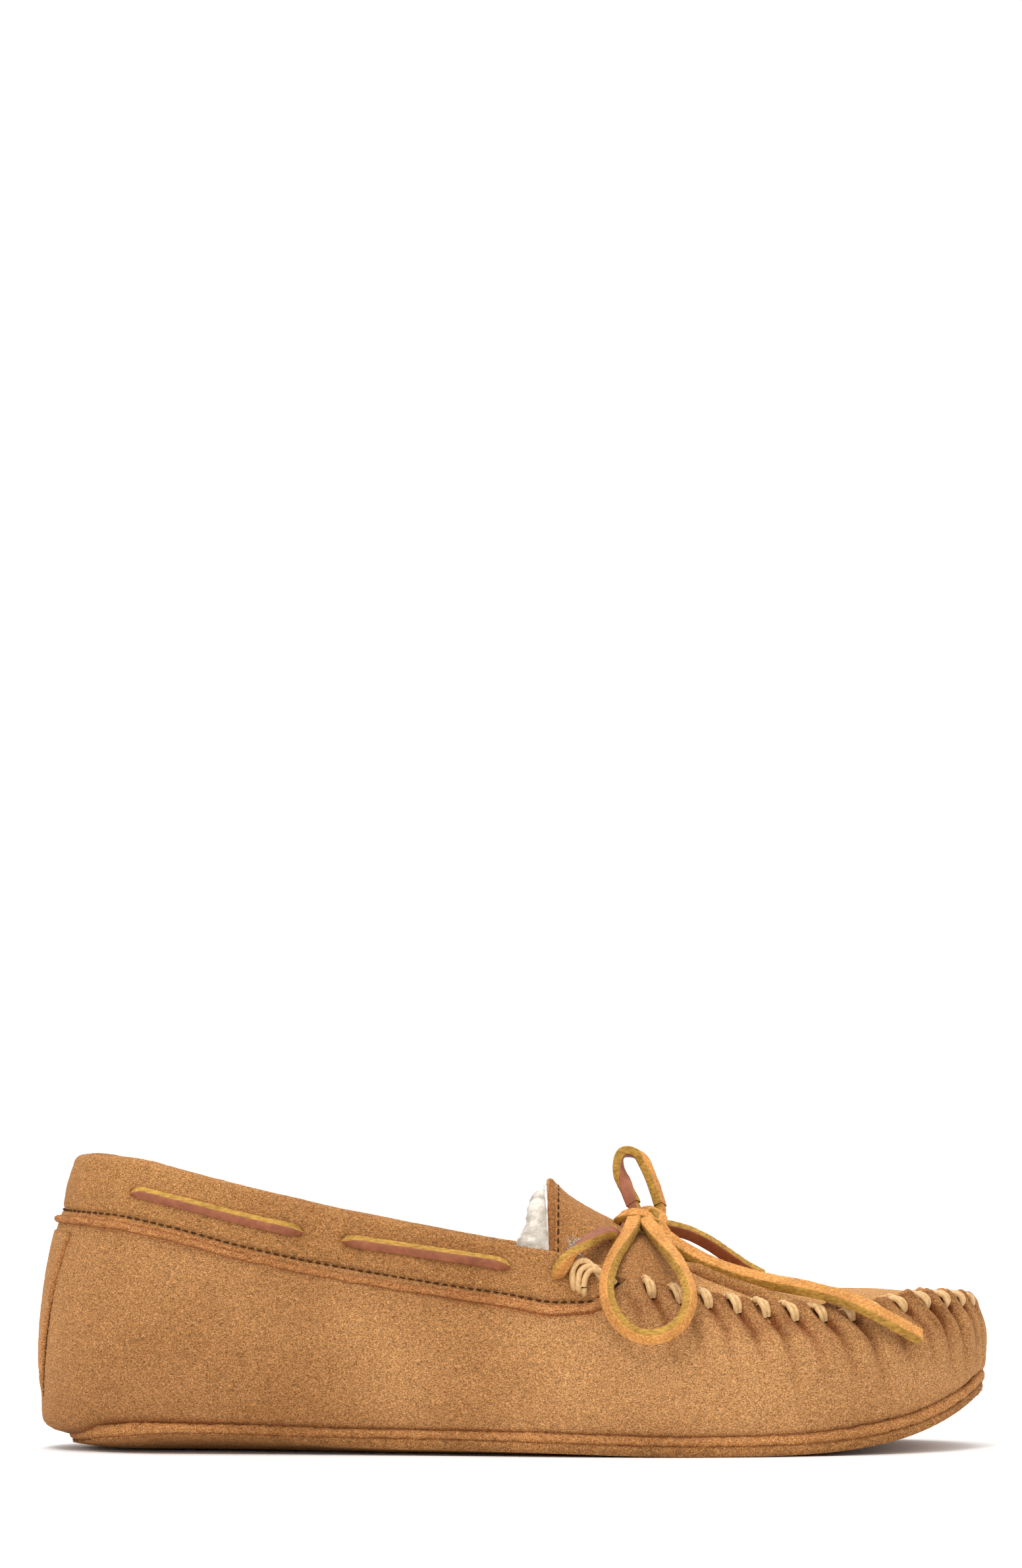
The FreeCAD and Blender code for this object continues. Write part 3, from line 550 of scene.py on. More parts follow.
def hairs(roots, directions, lengths, radius, seed, curl=0.35):
    """Thin bent fibres, each a three-sided spike in two lengths."""
    rng = np.random.default_rng(seed)
    parts_points, parts_faces = [], []
    n = len(roots)
    directions = unit(directions)
    sway = unit(rng.normal(size=(n, 3)))
    side = unit(np.cross(directions, sway))
    other = np.cross(directions, side)
    lengths = np.broadcast_to(lengths, (n,))[:, None]
    middle = roots + directions * lengths * 0.55 + sway * lengths * curl * 0.3
    tip = middle + unit(directions + sway * curl * 1.6) * lengths * 0.5
    for centre, r in ((roots - directions * 0.15, radius), (middle, radius * 0.75)):
        for k in range(3):
            angle = 2 * math.pi * k / 3
            parts_points.append(centre + r * (math.cos(angle) * side + math.sin(angle) * other))
    parts_points.append(tip)
    points = np.stack(parts_points, axis=1).reshape(-1, 3)
    local = [(0, 2, 1), (0, 1, 4, 3), (1, 2, 5, 4), (2, 0, 3, 5), (3, 4, 6), (4, 5, 6), (5, 3, 6)]
    for i in range(n):
        parts_faces += [tuple(7 * i + k for k in face) for face in local]
    return points, parts_faces


# ---------------------------------------------------------------- materials


def new_material(name):
    """A material, its nodes and links, and its main shader."""
    material = bpy.data.materials.new(name)
    material.use_nodes = True
    nodes, links = material.node_tree.nodes, material.node_tree.links
    return material, nodes, links, nodes["Principled BSDF"]


def rgb(r, g, b):
    """A linear colour from sRGB values of 0 to 255."""
    values = [v / 255 for v in (r, g, b)]
    return (*[v / 12.92 if v <= 0.04045 else ((v + 0.055) / 1.055) ** 2.4 for v in values], 1)


def noise_node(nodes, links, coordinates, scale, detail=3.0, stretch=None, turn=(0, 0, 0)):
    """A noise texture in object space: scale in bumps per metre, and stretch squeezes it along each axis."""
    node = nodes.new("ShaderNodeTexNoise")
    node.inputs["Scale"].default_value = scale
    node.inputs["Detail"].default_value = detail
    if stretch:
        mapping = nodes.new("ShaderNodeMapping")
        mapping.inputs["Scale"].default_value = stretch
        mapping.inputs["Rotation"].default_value = turn
        links.new(coordinates, mapping.inputs["Vector"])
        coordinates = mapping.outputs["Vector"]
    links.new(coordinates, node.inputs["Vector"])
    return node.outputs["Fac"]


def ramp(nodes, links, value, low, high, first, second):
    """Turns a value from low..high into a mix of two colours."""
    node = nodes.new("ShaderNodeValToRGB")
    node.color_ramp.elements[0].position, node.color_ramp.elements[1].position = low, high
    node.color_ramp.elements[0].color, node.color_ramp.elements[1].color = first, second
    links.new(value, node.inputs["Fac"])
    return node.outputs["Color"]


def mix(nodes, links, factor, first, second, kind="MIX"):
    """A colour mix. factor, first and second are sockets or plain values."""
    node = nodes.new("ShaderNodeMix")
    node.data_type, node.blend_type = "RGBA", kind
    for socket, value in ((node.inputs[0], factor), (node.inputs[6], first), (node.inputs[7], second)):
        if isinstance(value, (float, int, tuple)):
            socket.default_value = value
        else:
            links.new(value, socket)
    return node.outputs[2]


def bump(nodes, links, shader, heights):
    """Chained bumps, each (height socket, strength, distance in metres)."""
    last = None
    for height, strength, distance in heights:
        node = nodes.new("ShaderNodeBump")
        node.inputs["Strength"].default_value = strength
        node.inputs["Distance"].default_value = distance
        links.new(height, node.inputs["Height"])
        if last:
            links.new(last, node.inputs["Normal"])
        last = node.outputs["Normal"]
    links.new(last, shader.inputs["Normal"])


def suede(name, dark, light, worn, fuzz=1.0):
    """Napped suede: mottled patches, brushed nap, short paler fibres, and painted shade: a darker, redder
    copy of the colour where the shade attribute is high.
    """
    material, nodes, links, shader = new_material(name)
    where = nodes.new("ShaderNodeTexCoord").outputs["Object"]
    patches = noise_node(nodes, links, where, 20, 3)
    colour = ramp(nodes, links, patches, 0.34, 0.68, dark, light)
    brushed = noise_node(nodes, links, where, 420, 4, (1, 1, 2.2), (0, 0.5, 0))
    share = ramp(nodes, links, brushed, 0.42, 0.75, (0, 0, 0, 1), (0.4, 0.4, 0.4, 1))
    colour = mix(nodes, links, share, colour, worn)
    worms = noise_node(nodes, links, where, 1100, 3, (1, 1, 1.5), (0, 0.6, 0))
    streak = ramp(nodes, links, worms, 0.36, 0.64, (0.84, 0.82, 0.78, 1), (1.15, 1.15, 1.14, 1))
    colour = mix(nodes, links, 1.0, colour, streak, "MULTIPLY")
    grain = noise_node(nodes, links, where, 2400, 2, (1, 1, 1.6), (0, 0.7, 0))
    speck = ramp(nodes, links, grain, 0.36, 0.66, (0.46, 0.42, 0.35, 1), (1.52, 1.52, 1.48, 1))
    colour = mix(nodes, links, 1.0, colour, speck, "MULTIPLY")
    broad = noise_node(nodes, links, where, 8, 2)
    tone = ramp(nodes, links, broad, 0.38, 0.62, (0.93, 0.9, 0.87, 1), (1.07, 1.08, 1.1, 1))
    colour = mix(nodes, links, 1.0, colour, tone, "MULTIPLY")
    # Painted shade: the shade attribute mixes in a darker, redder colour, mostly at holes, furrows, creases,
    # seams and under folds; a few pieces also use it for a plain darker tone.
    shade = nodes.new("ShaderNodeAttribute")
    shade.attribute_name = "shade"
    painted_shade_colour = mix(nodes, links, 1.0, colour, (0.4, 0.25, 0.17, 1), "MULTIPLY")
    colour = mix(nodes, links, shade.outputs["Fac"], colour, painted_shade_colour)
    links.new(colour, shader.inputs["Base Color"])
    shader.inputs["Roughness"].default_value = 0.95
    shader.inputs["Specular IOR Level"].default_value = 0.15
    shader.inputs["Sheen Weight"].default_value = 0.22
    shader.inputs["Sheen Roughness"].default_value = 0.5
    shader.inputs["Sheen Tint"].default_value = worn
    bump(nodes, links, shader, [(brushed, 0.25 * fuzz, 0.0005), (grain, 0.6 * fuzz, 0.0003)])
    return material


def fleece_material(name, dark, light):
    """Wool pile: cream locks, with painted shade between them where the bump sinks."""
    material, nodes, links, shader = new_material(name)
    where = nodes.new("ShaderNodeTexCoord").outputs["Object"]
    locks = noise_node(nodes, links, where, 260, 4)
    fine = noise_node(nodes, links, where, 1400, 3, (1, 1, 1.8), (0.3, 0.4, 0))
    # Painted shade: darker where the locks noise is low, in the hollows that the same noise bumps in.
    colour = ramp(nodes, links, locks, 0.32, 0.62, dark, light)
    fibre = ramp(nodes, links, fine, 0.3, 0.7, (0.82, 0.8, 0.77, 1), (1.08, 1.08, 1.08, 1))
    colour = mix(nodes, links, 0.9, colour, fibre, "MULTIPLY")
    links.new(colour, shader.inputs["Base Color"])
    shader.inputs["Roughness"].default_value = 1.0
    shader.inputs["Specular IOR Level"].default_value = 0.1
    shader.inputs["Sheen Weight"].default_value = 0.4
    shader.inputs["Sheen Roughness"].default_value = 0.6
    bump(nodes, links, shader, [(locks, 0.6, 0.0015), (fine, 0.6, 0.0005)])
    return material


def leather_face(name, dark, light, scale, stretch, roughness, height):
    """One face of the rawhide lace: smooth grain, rough flesh or fibrous cut edge."""
    material, nodes, links, shader = new_material(name)
    where = nodes.new("ShaderNodeTexCoord").outputs["Object"]
    broad = noise_node(nodes, links, where, 120, 3)
    fine = noise_node(nodes, links, where, scale, 4, stretch, (0.3, 0.5, 0.2))
    colour = ramp(nodes, links, fine, 0.3, 0.68, dark, light)
    tone = ramp(nodes, links, broad, 0.35, 0.65, (0.86, 0.84, 0.8, 1), (1.1, 1.1, 1.1, 1))
    colour = mix(nodes, links, 1.0, colour, tone, "MULTIPLY")
    links.new(colour, shader.inputs["Base Color"])
    shader.inputs["Roughness"].default_value = roughness
    shader.inputs["Specular IOR Level"].default_value = 0.3
    bump(nodes, links, shader, [(fine, 0.5, height)])
    return material


def cord_material(name, dark, light, roughness=0.5, shine=0.4):
    """Cord or thread with a fine twist."""
    material, nodes, links, shader = new_material(name)
    where = nodes.new("ShaderNodeTexCoord").outputs["Object"]
    strands = noise_node(nodes, links, where, 1300, 2, (1, 1, 0.6), (0.5, 0.8, 0))
    colour = ramp(nodes, links, strands, 0.2, 0.75, dark, light)
    links.new(colour, shader.inputs["Base Color"])
    shader.inputs["Roughness"].default_value = roughness
    shader.inputs["Specular IOR Level"].default_value = shine
    bump(nodes, links, shader, [(strands, 0.5, 0.0003)])
    return material


SUEDE_BODY = suede("suede_body", rgb(150, 105, 64), rgb(174, 128, 84), rgb(190, 142, 94))
SUEDE_APRON = suede("suede_apron", rgb(168, 120, 72), rgb(186, 140, 92), rgb(200, 156, 106), 0.7)
SUEDE_COLLAR = suede("suede_collar", rgb(146, 101, 60), rgb(174, 127, 81), rgb(190, 142, 92))
SUEDE_RAW = suede("suede_raw", rgb(146, 98, 58), rgb(182, 128, 80), rgb(204, 150, 96), 1.6)
SUEDE_WELT = suede("suede_welt", rgb(160, 106, 64), rgb(190, 134, 86), rgb(208, 154, 100), 1.6)
SUEDE_SOLE = suede("suede_sole", rgb(132, 90, 52), rgb(170, 120, 74), rgb(198, 146, 92), 1.8)
WOOL = fleece_material("wool", rgb(168, 156, 140), rgb(222, 214, 202))
HIDE = fleece_material("white_hide", rgb(226, 222, 214), rgb(248, 247, 243))
GRAIN = leather_face("lace_grain", rgb(132, 76, 50), rgb(154, 93, 64), 500, (1, 1, 1), 0.6, 0.00003)
FLESH = leather_face("lace_flesh", rgb(168, 108, 48), rgb(220, 158, 88), 1300, (1, 1, 1), 0.9, 0.0004)
CUT = leather_face("lace_cut", rgb(136, 97, 34), rgb(190, 147, 66), 1000, (0.5, 1, 1.6), 0.85, 0.0003)
LACE_FUZZ = leather_face("lace_fuzz", rgb(205, 160, 84), rgb(240, 205, 140), 600, (1, 1, 1), 0.9, 0.0001)
LACE_FACES = [FLESH, GRAIN, CUT, LACE_FUZZ]
WAXED = cord_material("waxed_cord", rgb(182, 138, 84), rgb(222, 184, 130))
THREAD_DARK = cord_material("dark_thread", rgb(44, 26, 14), rgb(84, 54, 32), 1.0, 0.05)

# ---------------------------------------------------------------- the upper


def upper_detail(u, v, points):
    """How far the upper's face stands out: puckers, dents at the stitch holes, soft creases and nap."""
    x = ring(u)[0]
    drop = (1 - v) * wall_height(x)
    phase = seam_phase(u, drop)
    strength = seam_strength(u)
    nearest = np.round(phase)
    forward = smooth((x - 70) / 30) * (1 - smooth((x - 112) / 16))
    reach = 8 + 8 * np.abs(np.sin(nearest * 2.7 + 0.6)) + 8 * forward
    gather = np.abs(np.sin(math.pi * phase)) ** 0.7
    depth = (2.0 + 1.0 * np.sin(nearest * 1.9 + 1)) * (0.75 + 0.75 * smooth((x - 60) / 50))
    puckers = strength * depth * (gather - 0.72) * np.exp(-((drop / reach) ** 1.5))
    puckers = puckers + strength * 0.6 * gather * hump(drop, 2.6)
    aside = (phase - nearest) * WHIP_PITCH
    hole = -1.3 * strength * np.exp(-((aside / 1.1) ** 2 + ((drop - STITCH_DROP) / 1.3) ** 2))
    creases = 0.55 * bumps(points * [1, 1, 0.7], 34, 3) + 0.22 * bumps(points, 13, 5)
    toe_folds = smooth((x - 60) / 40) * smooth(v * 1.4) * 1.3 * bumps(points * [1.5, 1, 0.5], 10, 9)
    nap = rough(points, 21, (1.6, NAP * 0.6), (0.8, NAP * 0.4))
    return puckers + hole + creases * smooth(v * 4) + toe_folds + nap


def upper_shade(u, v):
    """Painted shade on the upper: at the stitch holes, in the furrows, along the seam's ridge, along the
    sole seam and low on the heel, with random darker patches below the seam.
    """
    x = ring(u)[0]
    drop = (1 - v) * wall_height(x)
    phase = seam_phase(u, drop)
    aside = (phase - np.round(phase)) * WHIP_PITCH
    strength = seam_strength(u)
    # All of these but the patches are painted shade; the patches are random darker tone.
    hole = 1.5 * strength * np.exp(-((aside / 1.2) ** 2 + ((drop - STITCH_DROP - 0.6) / 1.3) ** 2))
    furrow = 0.62 * strength * hump(aside, 1.5) * hump(drop - 4, 13)
    ridge = strength * (0.22 * hump(drop, 9) + 0.25 * hump(drop, 1.6))
    seam = 0.85 * hump(v, 0.022)
    low_heel = 0.32 * smooth((-60 - x) / 60) * smooth((0.55 - v) / 0.5)
    patches = np.clip(bumps(wall_raw(u, v), 8, 15) + 0.25, 0, 1) * hump(drop - 5, 11)
    return np.clip(hole + furrow + ridge + seam + low_heel + 0.4 * strength * patches, 0, 1)


def build_upper():
    """The suede wrap, from the heel seam round the toe."""
    us = np.linspace(0, 1, 1000, endpoint=False)
    vs = np.concatenate([np.linspace(-0.03, 0.5, 30, endpoint=False), np.linspace(0.5, 1, 52)])
    rows, faces_out = skin(wall, us, vs, SUEDE, 0.0, upper_detail, inner=8)
    shade = np.zeros(rows.shape[:2])
    shade[:, :faces_out] = upper_shade(us[:, None], vs[None, :])
    points, faces = loft(rows, close_rows=True)
    obj = piece("upper_suede", points, faces, SUEDE_BODY, shade=shade)
    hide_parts("upper")


# ---------------------------------------------------------------- the collar


def lace_on_collar(u, depth):
    """A place on the lace's line along the collar, `depth` outside its face."""
    return collar(u, keyed(LACE_V, ring(u)[0]), depth)


def slot_ends():
    """The u of each place where the lace goes through the collar."""
    xs = [x for run in OUTSIDE_RUNS for x in run] + [FRONT_HOLE_X]
    return [float(u_at(x, outer)) - (0 if outer else 1.0) for x in xs for outer in (True, False)]


SLOT_U = slot_ends()


def from_slots(u, v):
    """How close a place on the collar is to one of the lace's slots, from 0 to 1."""
    x = ring(u)[0]
    rise = (v - keyed(LACE_V, x)) / 0.4 * (keyed(COLLAR_Z, x) - keyed(COLLAR_R, x) - keyed(TOP_Z, x))
    near = np.zeros(np.broadcast(u, v).shape)
    for at in SLOT_U:
        near = np.maximum(near, np.exp(-((((u - at) * ROUND_IT) / 2.4) ** 2 + (rise / 2.0) ** 2)))
    return near * (v < 0.5)


def collar_detail(u, v, points):
    """The collar's face: a groove along its stitches, a swell above them, dents at the slots, and nap."""
    groove = -0.5 * hump(v - 0.03, 0.02)
    swell = 0.7 * np.sin(math.pi * np.clip(v / 0.42, 0, 1)) * (0.8 + 0.35 * bumps(points, 26, 12))
    wavy = 0.35 * bumps(points * [1, 1, 0.6], 17, 31)
    nap = rough(points, 41, (1.5, NAP * 0.6), (0.8, NAP * 0.4))
    return groove + swell + wavy - 0.9 * from_slots(u, v) + nap


def build_collar():
    """The band of suede rolled over the upper's top edge."""
    us = np.linspace(U_FRONT_IN, U_FRONT, 640)
    outer_leaf = np.linspace(0, 0.4, 40, endpoint=False)
    vs = np.concatenate([outer_leaf, np.linspace(0.4, 0.7, 16), np.linspace(0.74, 1, 10)])
    rows, faces_out = skin(collar, us, vs, COLLAR_SUEDE, 0.0, collar_detail, inner=26)
    shade = np.zeros(rows.shape[:2])
    u, v = us[:, None], vs[None, :]
    # Painted shade round the lace's slots and along the groove of the stitches.
    shade[:, :faces_out] = np.clip(0.9 * from_slots(u, v) ** 1.5 + 0.3 * hump(v - 0.02, 0.02), 0, 1)
    points, faces = loft(rows)
    obj = piece("collar_suede", points, faces, SUEDE_COLLAR, shade=shade)
    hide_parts("collar")


def build_welt():
    """The collar's raw lower edge, a rough bead that stands off the body."""

    def face(u, v, out=0.0):
        x = ring(u)[0]
        drop = WELT_HEIGHT * (1 - v) + 0.25 * bumps(wall_raw(u, 1.0 + 0 * v), 5, 77)
        return wall(u, 1 - drop / wall_height(x), out)

    def detail(u, v, points):
        bead = np.sqrt(np.clip(1 - ((v - 0.36) / 0.36) ** 2, 0, 1))
        return 1.45 * bead + (0.15 + 0.85 * bead) * rough(points, 61, (3.5, 0.25), (1.7, 0.4), (0.9, 0.3))

    us = np.linspace(U_FRONT_IN, U_FRONT, 1300)
    vs = np.linspace(0, 1.0, 20)
    rows, faces_out = skin(face, us, vs, 0.7, 0.3, detail, inner=4)
    shade = np.zeros(rows.shape[:2])
    # Painted shadow along the bead's lower edge, and a painted shade line in the groove above the bead.
    shade[:, :faces_out] = 0.85 * hump(vs, 0.1) + 0.35 * hump(vs - 0.76, 0.07)
    points, faces = loft(rows)
    obj = piece("collar_welt_edge", points, faces, SUEDE_WELT, shade=shade)
    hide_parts("collar_welt")
    rng = np.random.default_rng(141)
    i, j = rng.integers(0, len(us), 3600), rng.integers(2, 13, 3600)
    _, _, nx, ny = ring(us[i])
    away = np.stack([nx, ny, rng.uniform(-0.6, 0.6, len(i))], axis=-1)
    fringe("welt_fibres", rows[i, j], away, 142, 0.55, SUEDE_WELT)


# ---------------------------------------------------------------- threads


def thread_row(name, line, start, end, node, radius=0.34, pitch=THREAD_PITCH, fill=0.7, body="shoe"):
    """A row of machine stitches, each a short bead that dips into the suede at both ends."""
    us = along(line, start, end, pitch)
    parts = []
    for a, b in zip(us, us[1:]):
        t = np.linspace(0, fill, 7)
        path = line(a + t * (b - a))
        radii = radius * (0.45 + 0.55 * np.sin(math.pi * t / fill))
        parts.append(loft(tube_rows(path, radii, 6)))
    points, faces = joined(parts)
    obj = piece(name, points, faces, THREAD_DARK, body=body)
    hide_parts(node)
    return obj


def build_threads():
    """The stitches over the welt, and those hidden in the sole's crease."""
    def over_welt(u):
        return collar(u, 0.022 + 0 * u, 0.05 + 0 * u)

    def in_crease(u):
        return wall(u, 0.004 + 0 * u, -0.35 + 0 * u)

    front = U_FRONT - 0.003
    thread_row("collar_stitching", over_welt, U_FRONT_IN, front, "collar_thread", radius=0.3, pitch=2.6)
    thread_row("sole_stitching", in_crease, 0.03, 0.97, "sole_thread", radius=0.25)


# ---------------------------------------------------------------- the heel


def tab_half(v):
    """Half the heel tab's width, in u."""
    return (6 + 12 * v**1.3) / ROUND_IT


def tab_rise(v):
    """The v on the upper of a place v of the way up the heel tab."""
    return TAB_FOOT + TAB_SPAN * v


def tab_surface(a, v, out=0.0):
    """The heel tab's face. It sinks into the body at its lower end."""
    return wall(a * tab_half(v), tab_rise(v), np.asarray(out) * (0.1 + 0.9 * smooth(v / 0.22)))


def build_heel():
    """The tapered heel tab, its two rolled seams and their stitches."""
    def detail(a, v, points):
        return 0.3 * bumps(points, 16, 8) + rough(points, 91, (1.6, NAP * 0.6), (0.8, NAP * 0.4))

    vs, aa = np.linspace(0, 1, 70), np.linspace(-1, 1, 46)
    rows, _ = skin(tab_surface, aa, vs, 0.9, 1.0, detail, inner=6)
    points, faces = loft(rows)
    obj = piece("heel_tab_suede", points, faces, SUEDE_BODY, shade=np.zeros(len(points)))
    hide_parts("heel_tab")
    parts = []
    for side in (-1, 1):
        v = np.linspace(0.0, 1.0, 220)
        path = wall(side * (tab_half(v) + 0.2 / ROUND_IT), tab_rise(v), 0.55 * smooth(v / 0.15))
        path = path + 0.12 * bumps(path, 3, 55)[:, None]
        radii = 0.95 + 0.14 * bumps(path, 2.2, 56) - 0.5 * smooth((0.15 - v) / 0.15)
        parts.append(loft(tube_rows(path, radii, 12, up=(1, 0, 0.2))))
    points, faces = joined(parts)
    piece("heel_tab_rolls", points, faces, SUEDE_RAW, shade=0.1 * np.ones(len(points)))
    stitches = []
    for side in (-1, 1):

        def line(v, side=side):
            return wall(side * (tab_half(v) + 1.35 / ROUND_IT), tab_rise(v), 0.1 + 0 * v)

        us = along(line, 0.02, 0.97, 2.4)
        for a, b in zip(us, us[1:]):
            t = np.linspace(0, 0.75, 6)
            stitches.append(loft(tube_rows(line(a + t * (b - a)), 0.28, 6, up=(1, 0, 0.2))))
    points, faces = joined(stitches)
    obj = piece("heel_tab_stitching", points, faces, THREAD_DARK)
    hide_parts("heel_tab_thread")


# ---------------------------------------------------------------- sole


def plan(u, s, inset):
    """x, y of a place between the shoe's middle line (s = 0) and the sole's edge (s = 1)."""
    x, y, nx, ny = ring(u)
    d = keyed(SEAM_INSET, x) + inset + HEEL_INSET * smooth((-122 - x) / 16)
    ex, ey = x - nx * d, y - ny * d
    cx = np.clip(ex, *MIDDLE_LINE)
    return cx + (ex - cx) * s, ey * s


def slab(us, inset, top, bottom, edge_points, ss):
    """Rows of a closed slab: over its top from the middle to the edge, down the edge and back below."""
    x, y = plan(us[:, None], ss[None, :], inset)
    upper = np.stack([x, y, top(x, y)], axis=-1)
    lower = np.stack([x, y, bottom(x, y)], axis=-1)[:, ::-1]
    return np.concatenate([upper, edge_points(us, upper[:, -1], lower[:, 0]), lower], axis=1)


def bulged(us, a, b, out, seed, count=7, noise=0.25):
    """An edge that bulges out between the slab's top and bottom."""
    _, _, nx, ny = ring(us)
    away = np.stack([nx, ny, 0 * nx], axis=-1)
    rows = []
    for t in np.linspace(0, 1, count + 2)[1:-1]:
        p = a + (b - a) * t + away * out * math.sin(math.pi * t)
        rows.append(p + away * rough(p, seed, (2.4, noise), (1.1, noise * 1.1))[:, None])
    return np.stack(rows, axis=1)


def fringe(name, roots, directions, seed, length, material):
    """Short loose fibres standing off a raw edge."""
    rng = np.random.default_rng(seed)
    aimed = directions + rng.normal(size=roots.shape) * 0.6
    points, faces = hairs(roots, aimed, rng.uniform(0.4, 1.0, len(roots)) * length, 0.05, seed + 1, 0.6)
    piece(name, points, faces, material, shade=np.zeros(len(points)))


def closed_rows(rows):
    """Points and faces of rows that close round the shoe. Both sides meet on the middle line."""
    n, m = rows.shape[:2]
    return rows.reshape(-1, 3), weave(n, m, True, False)


def sole_top(x, y):
    """Height of the outsole's upper face."""
    return sole_z(x) + edge_lift(x, y) + SOLE_SUEDE + 0.5


def sole_bottom(x, y):
    """The sole's underside. Its edge eases up off the ground towards the back of the heel."""
    eased = HEEL_EASE * smooth((-30 - x) / 80) * np.clip(sole_share(x, y), 0, 1) ** 2
    return np.maximum(sole_z(x) + edge_lift(x, y) - FLAT_CUT, 0.0) + np.minimum(eased, sole_top(x, y) - 1.6)


def build_sole():
    """The suede outsole with its raw, fibrous edge."""
    us = np.linspace(0, 1, 900, endpoint=False)
    ss = np.concatenate([np.linspace(0, 0.9, 14), np.linspace(0.93, 1, 6)])
    rows = slab(us, -0.5, sole_top, sole_bottom, lambda u, a, b: bulged(u, a, b, 0.8, 101), ss)
    points, faces = closed_rows(rows)
    shade = np.zeros(rows.shape[:2])
    # Painted shade in the crease along the sole's top edge, under the rand.
    shade[:, len(ss) - 2 : len(ss) + 2] = (0.8, 0.8, 0.5, 0.1)
    obj = piece("sole_suede", points, faces, SUEDE_SOLE, shade=shade)
    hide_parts("outsole")
    rng = np.random.default_rng(131)
    edge = rows[:, len(ss) : len(ss) + 7]
    i, j = rng.integers(0, len(us), 5200), rng.integers(0, 7, 5200)
    _, _, nx, ny = ring(us[i])
    away = np.stack([nx, ny, rng.uniform(-0.5, 0.5, len(i))], axis=-1)
    fringe("sole_fibres", edge[i, j], away, 132, 0.9, SUEDE_SOLE)
    build_rand(us)


def build_rand(us):
    """The thin roll in the seam, which fills the gap between the sole and the upper."""
    x, y, nx, ny = ring(us)
    at_toe = smooth((x - 116) / 20)
    d = keyed(SEAM_INSET, x) + 0.1 - 0.8 * at_toe
    x, y = x - nx * d, y - ny * d
    low, high = sole_top(x, y) - 0.5, np.maximum(keyed(SEAM_Z, x), sole_top(x, y) + 0.4) + 0.1 + 1.5 * at_toe
    middle = np.stack([x, y, (low + high) / 2], axis=-1)
    away = np.stack([nx, ny, 0 * nx], axis=-1)
    half = np.maximum((high - low) / 2, 1.15)[:, None]
    angle = np.linspace(0, 2 * math.pi, 16, endpoint=False)
    rows = []
    for t in angle:
        p = middle + away * np.minimum(half, 1.4) * math.cos(t) + np.array([0, 0, 1.0]) * half * math.sin(t)
        out = away * math.cos(t) + np.array([0, 0, 1.0]) * math.sin(t)
        rows.append(p + out * rough(p, 121, (3, 0.2), (1.2, 0.25))[:, None])
    rows = np.stack(rows, axis=1)
    points, faces = loft(rows, close_rows=True)
    # Painted shade in the creases above and below the roll.
    creases = 0.5 * np.clip(np.sin(angle), 0, 1) ** 4 + 0.7 * np.clip(-np.sin(angle), 0, 1) ** 3
    shade = np.broadcast_to(creases, rows.shape[:2])
    obj = piece("rand_strip", points, faces, SUEDE_RAW, shade=shade)
    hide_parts("rand")


# ---------------------------------------------------------------- fleece inside


def pile(height, seed):
    """A detail function that makes a face into wool locks."""

    def detail(u, v, points):
        return height * (0.5 + rough(points, seed, *PILE_LAYERS))

    return detail


def build_linings():
    """The fleece in the heel and the forefoot, the insole's fleece and the foam under it."""
    for name, node, start, end, top in (
        ("quarter_fleece", "quarter_lining", float(u_at(33.0, False)) - 1.0, float(u_at(33.0)), 0.93),
        ("vamp_fleece", "vamp_lining", float(u_at(33.0)) + 0.003, float(u_at(33.0, False)) - 0.003, 0.8),
    ):
        us, vs = np.linspace(start, end, 420), np.linspace(0.06, top, 8)
        rows, _ = skin(wall, us, vs, FLEECE - 0.8, -LINING_OUT, None, inner=46, inside=pile(1.2, 201))
        points, faces = loft(rows)
        obj = piece(name, points, faces, WOOL)
        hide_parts(node)
    deck = SOLE_SUEDE + CLEAR
    us = np.linspace(0, 1, 520, endpoint=False)
    ss = np.linspace(0, 1, 44)

    def top_of(x, y):
        points = np.stack([x, y, 0 * x], axis=-1)
        z = sole_z(x) + deck + FOAM + CLEAR + FLEECE - 0.8
        return z + 1.2 * (0.5 + rough(points, 231, *PILE_LAYERS))

    def bottom_of(x, y):
        return sole_z(x) + deck + FOAM + CLEAR

    inset = LINING_OUT + FLEECE + 0.6
    rows = slab(us, inset, top_of, bottom_of, lambda u, a, b: bulged(u, a, b, 0.5, 241, 3, 0.1), ss)
    points, faces = closed_rows(rows)
    obj = piece("insole_wool", points, faces, WOOL)
    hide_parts("insole_fleece")

    def foam_top(x, y):
        return sole_z(x) + deck + FOAM

    def foam_bottom(x, y):
        return sole_z(x) + edge_lift(x, y) + deck

    def foam_edge(u, a, b):
        return bulged(u, a, b, 0.1, 243, 2, 0.0)

    rows = slab(us[::4], 2.8, foam_top, foam_bottom, foam_edge, ss[::4])
    points, faces = closed_rows(rows)
    obj = piece("midsole", points, faces, HIDE)
    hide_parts("midsole_foam")


# ---------------------------------------------------------------- apron and tongue

FOLD = ((50, -15), (66, -21), (88, -33.5))  # the soft fold's line over the apron, seen from above


def from_fold(points):
    """Signed distance from the fold's line, outer side negative, and how far along it, 0 to 1."""
    path = smooth_path([(x, y, 0) for x, y in FOLD], 60)[:, :2]
    flat = points[..., :2].reshape(-1, 2)
    gap = flat[:, None, :] - path[None]
    distance = np.linalg.norm(gap, axis=-1)
    k = distance.argmin(1)
    ahead = unit(np.gradient(path, axis=0))[k]
    offset = gap[np.arange(len(k)), k]
    signed = ahead[:, 0] * offset[:, 1] - ahead[:, 1] * offset[:, 0]
    shape = points.shape[:-1]
    return signed.reshape(shape), distance.min(1).reshape(shape), (k / 59).reshape(shape)


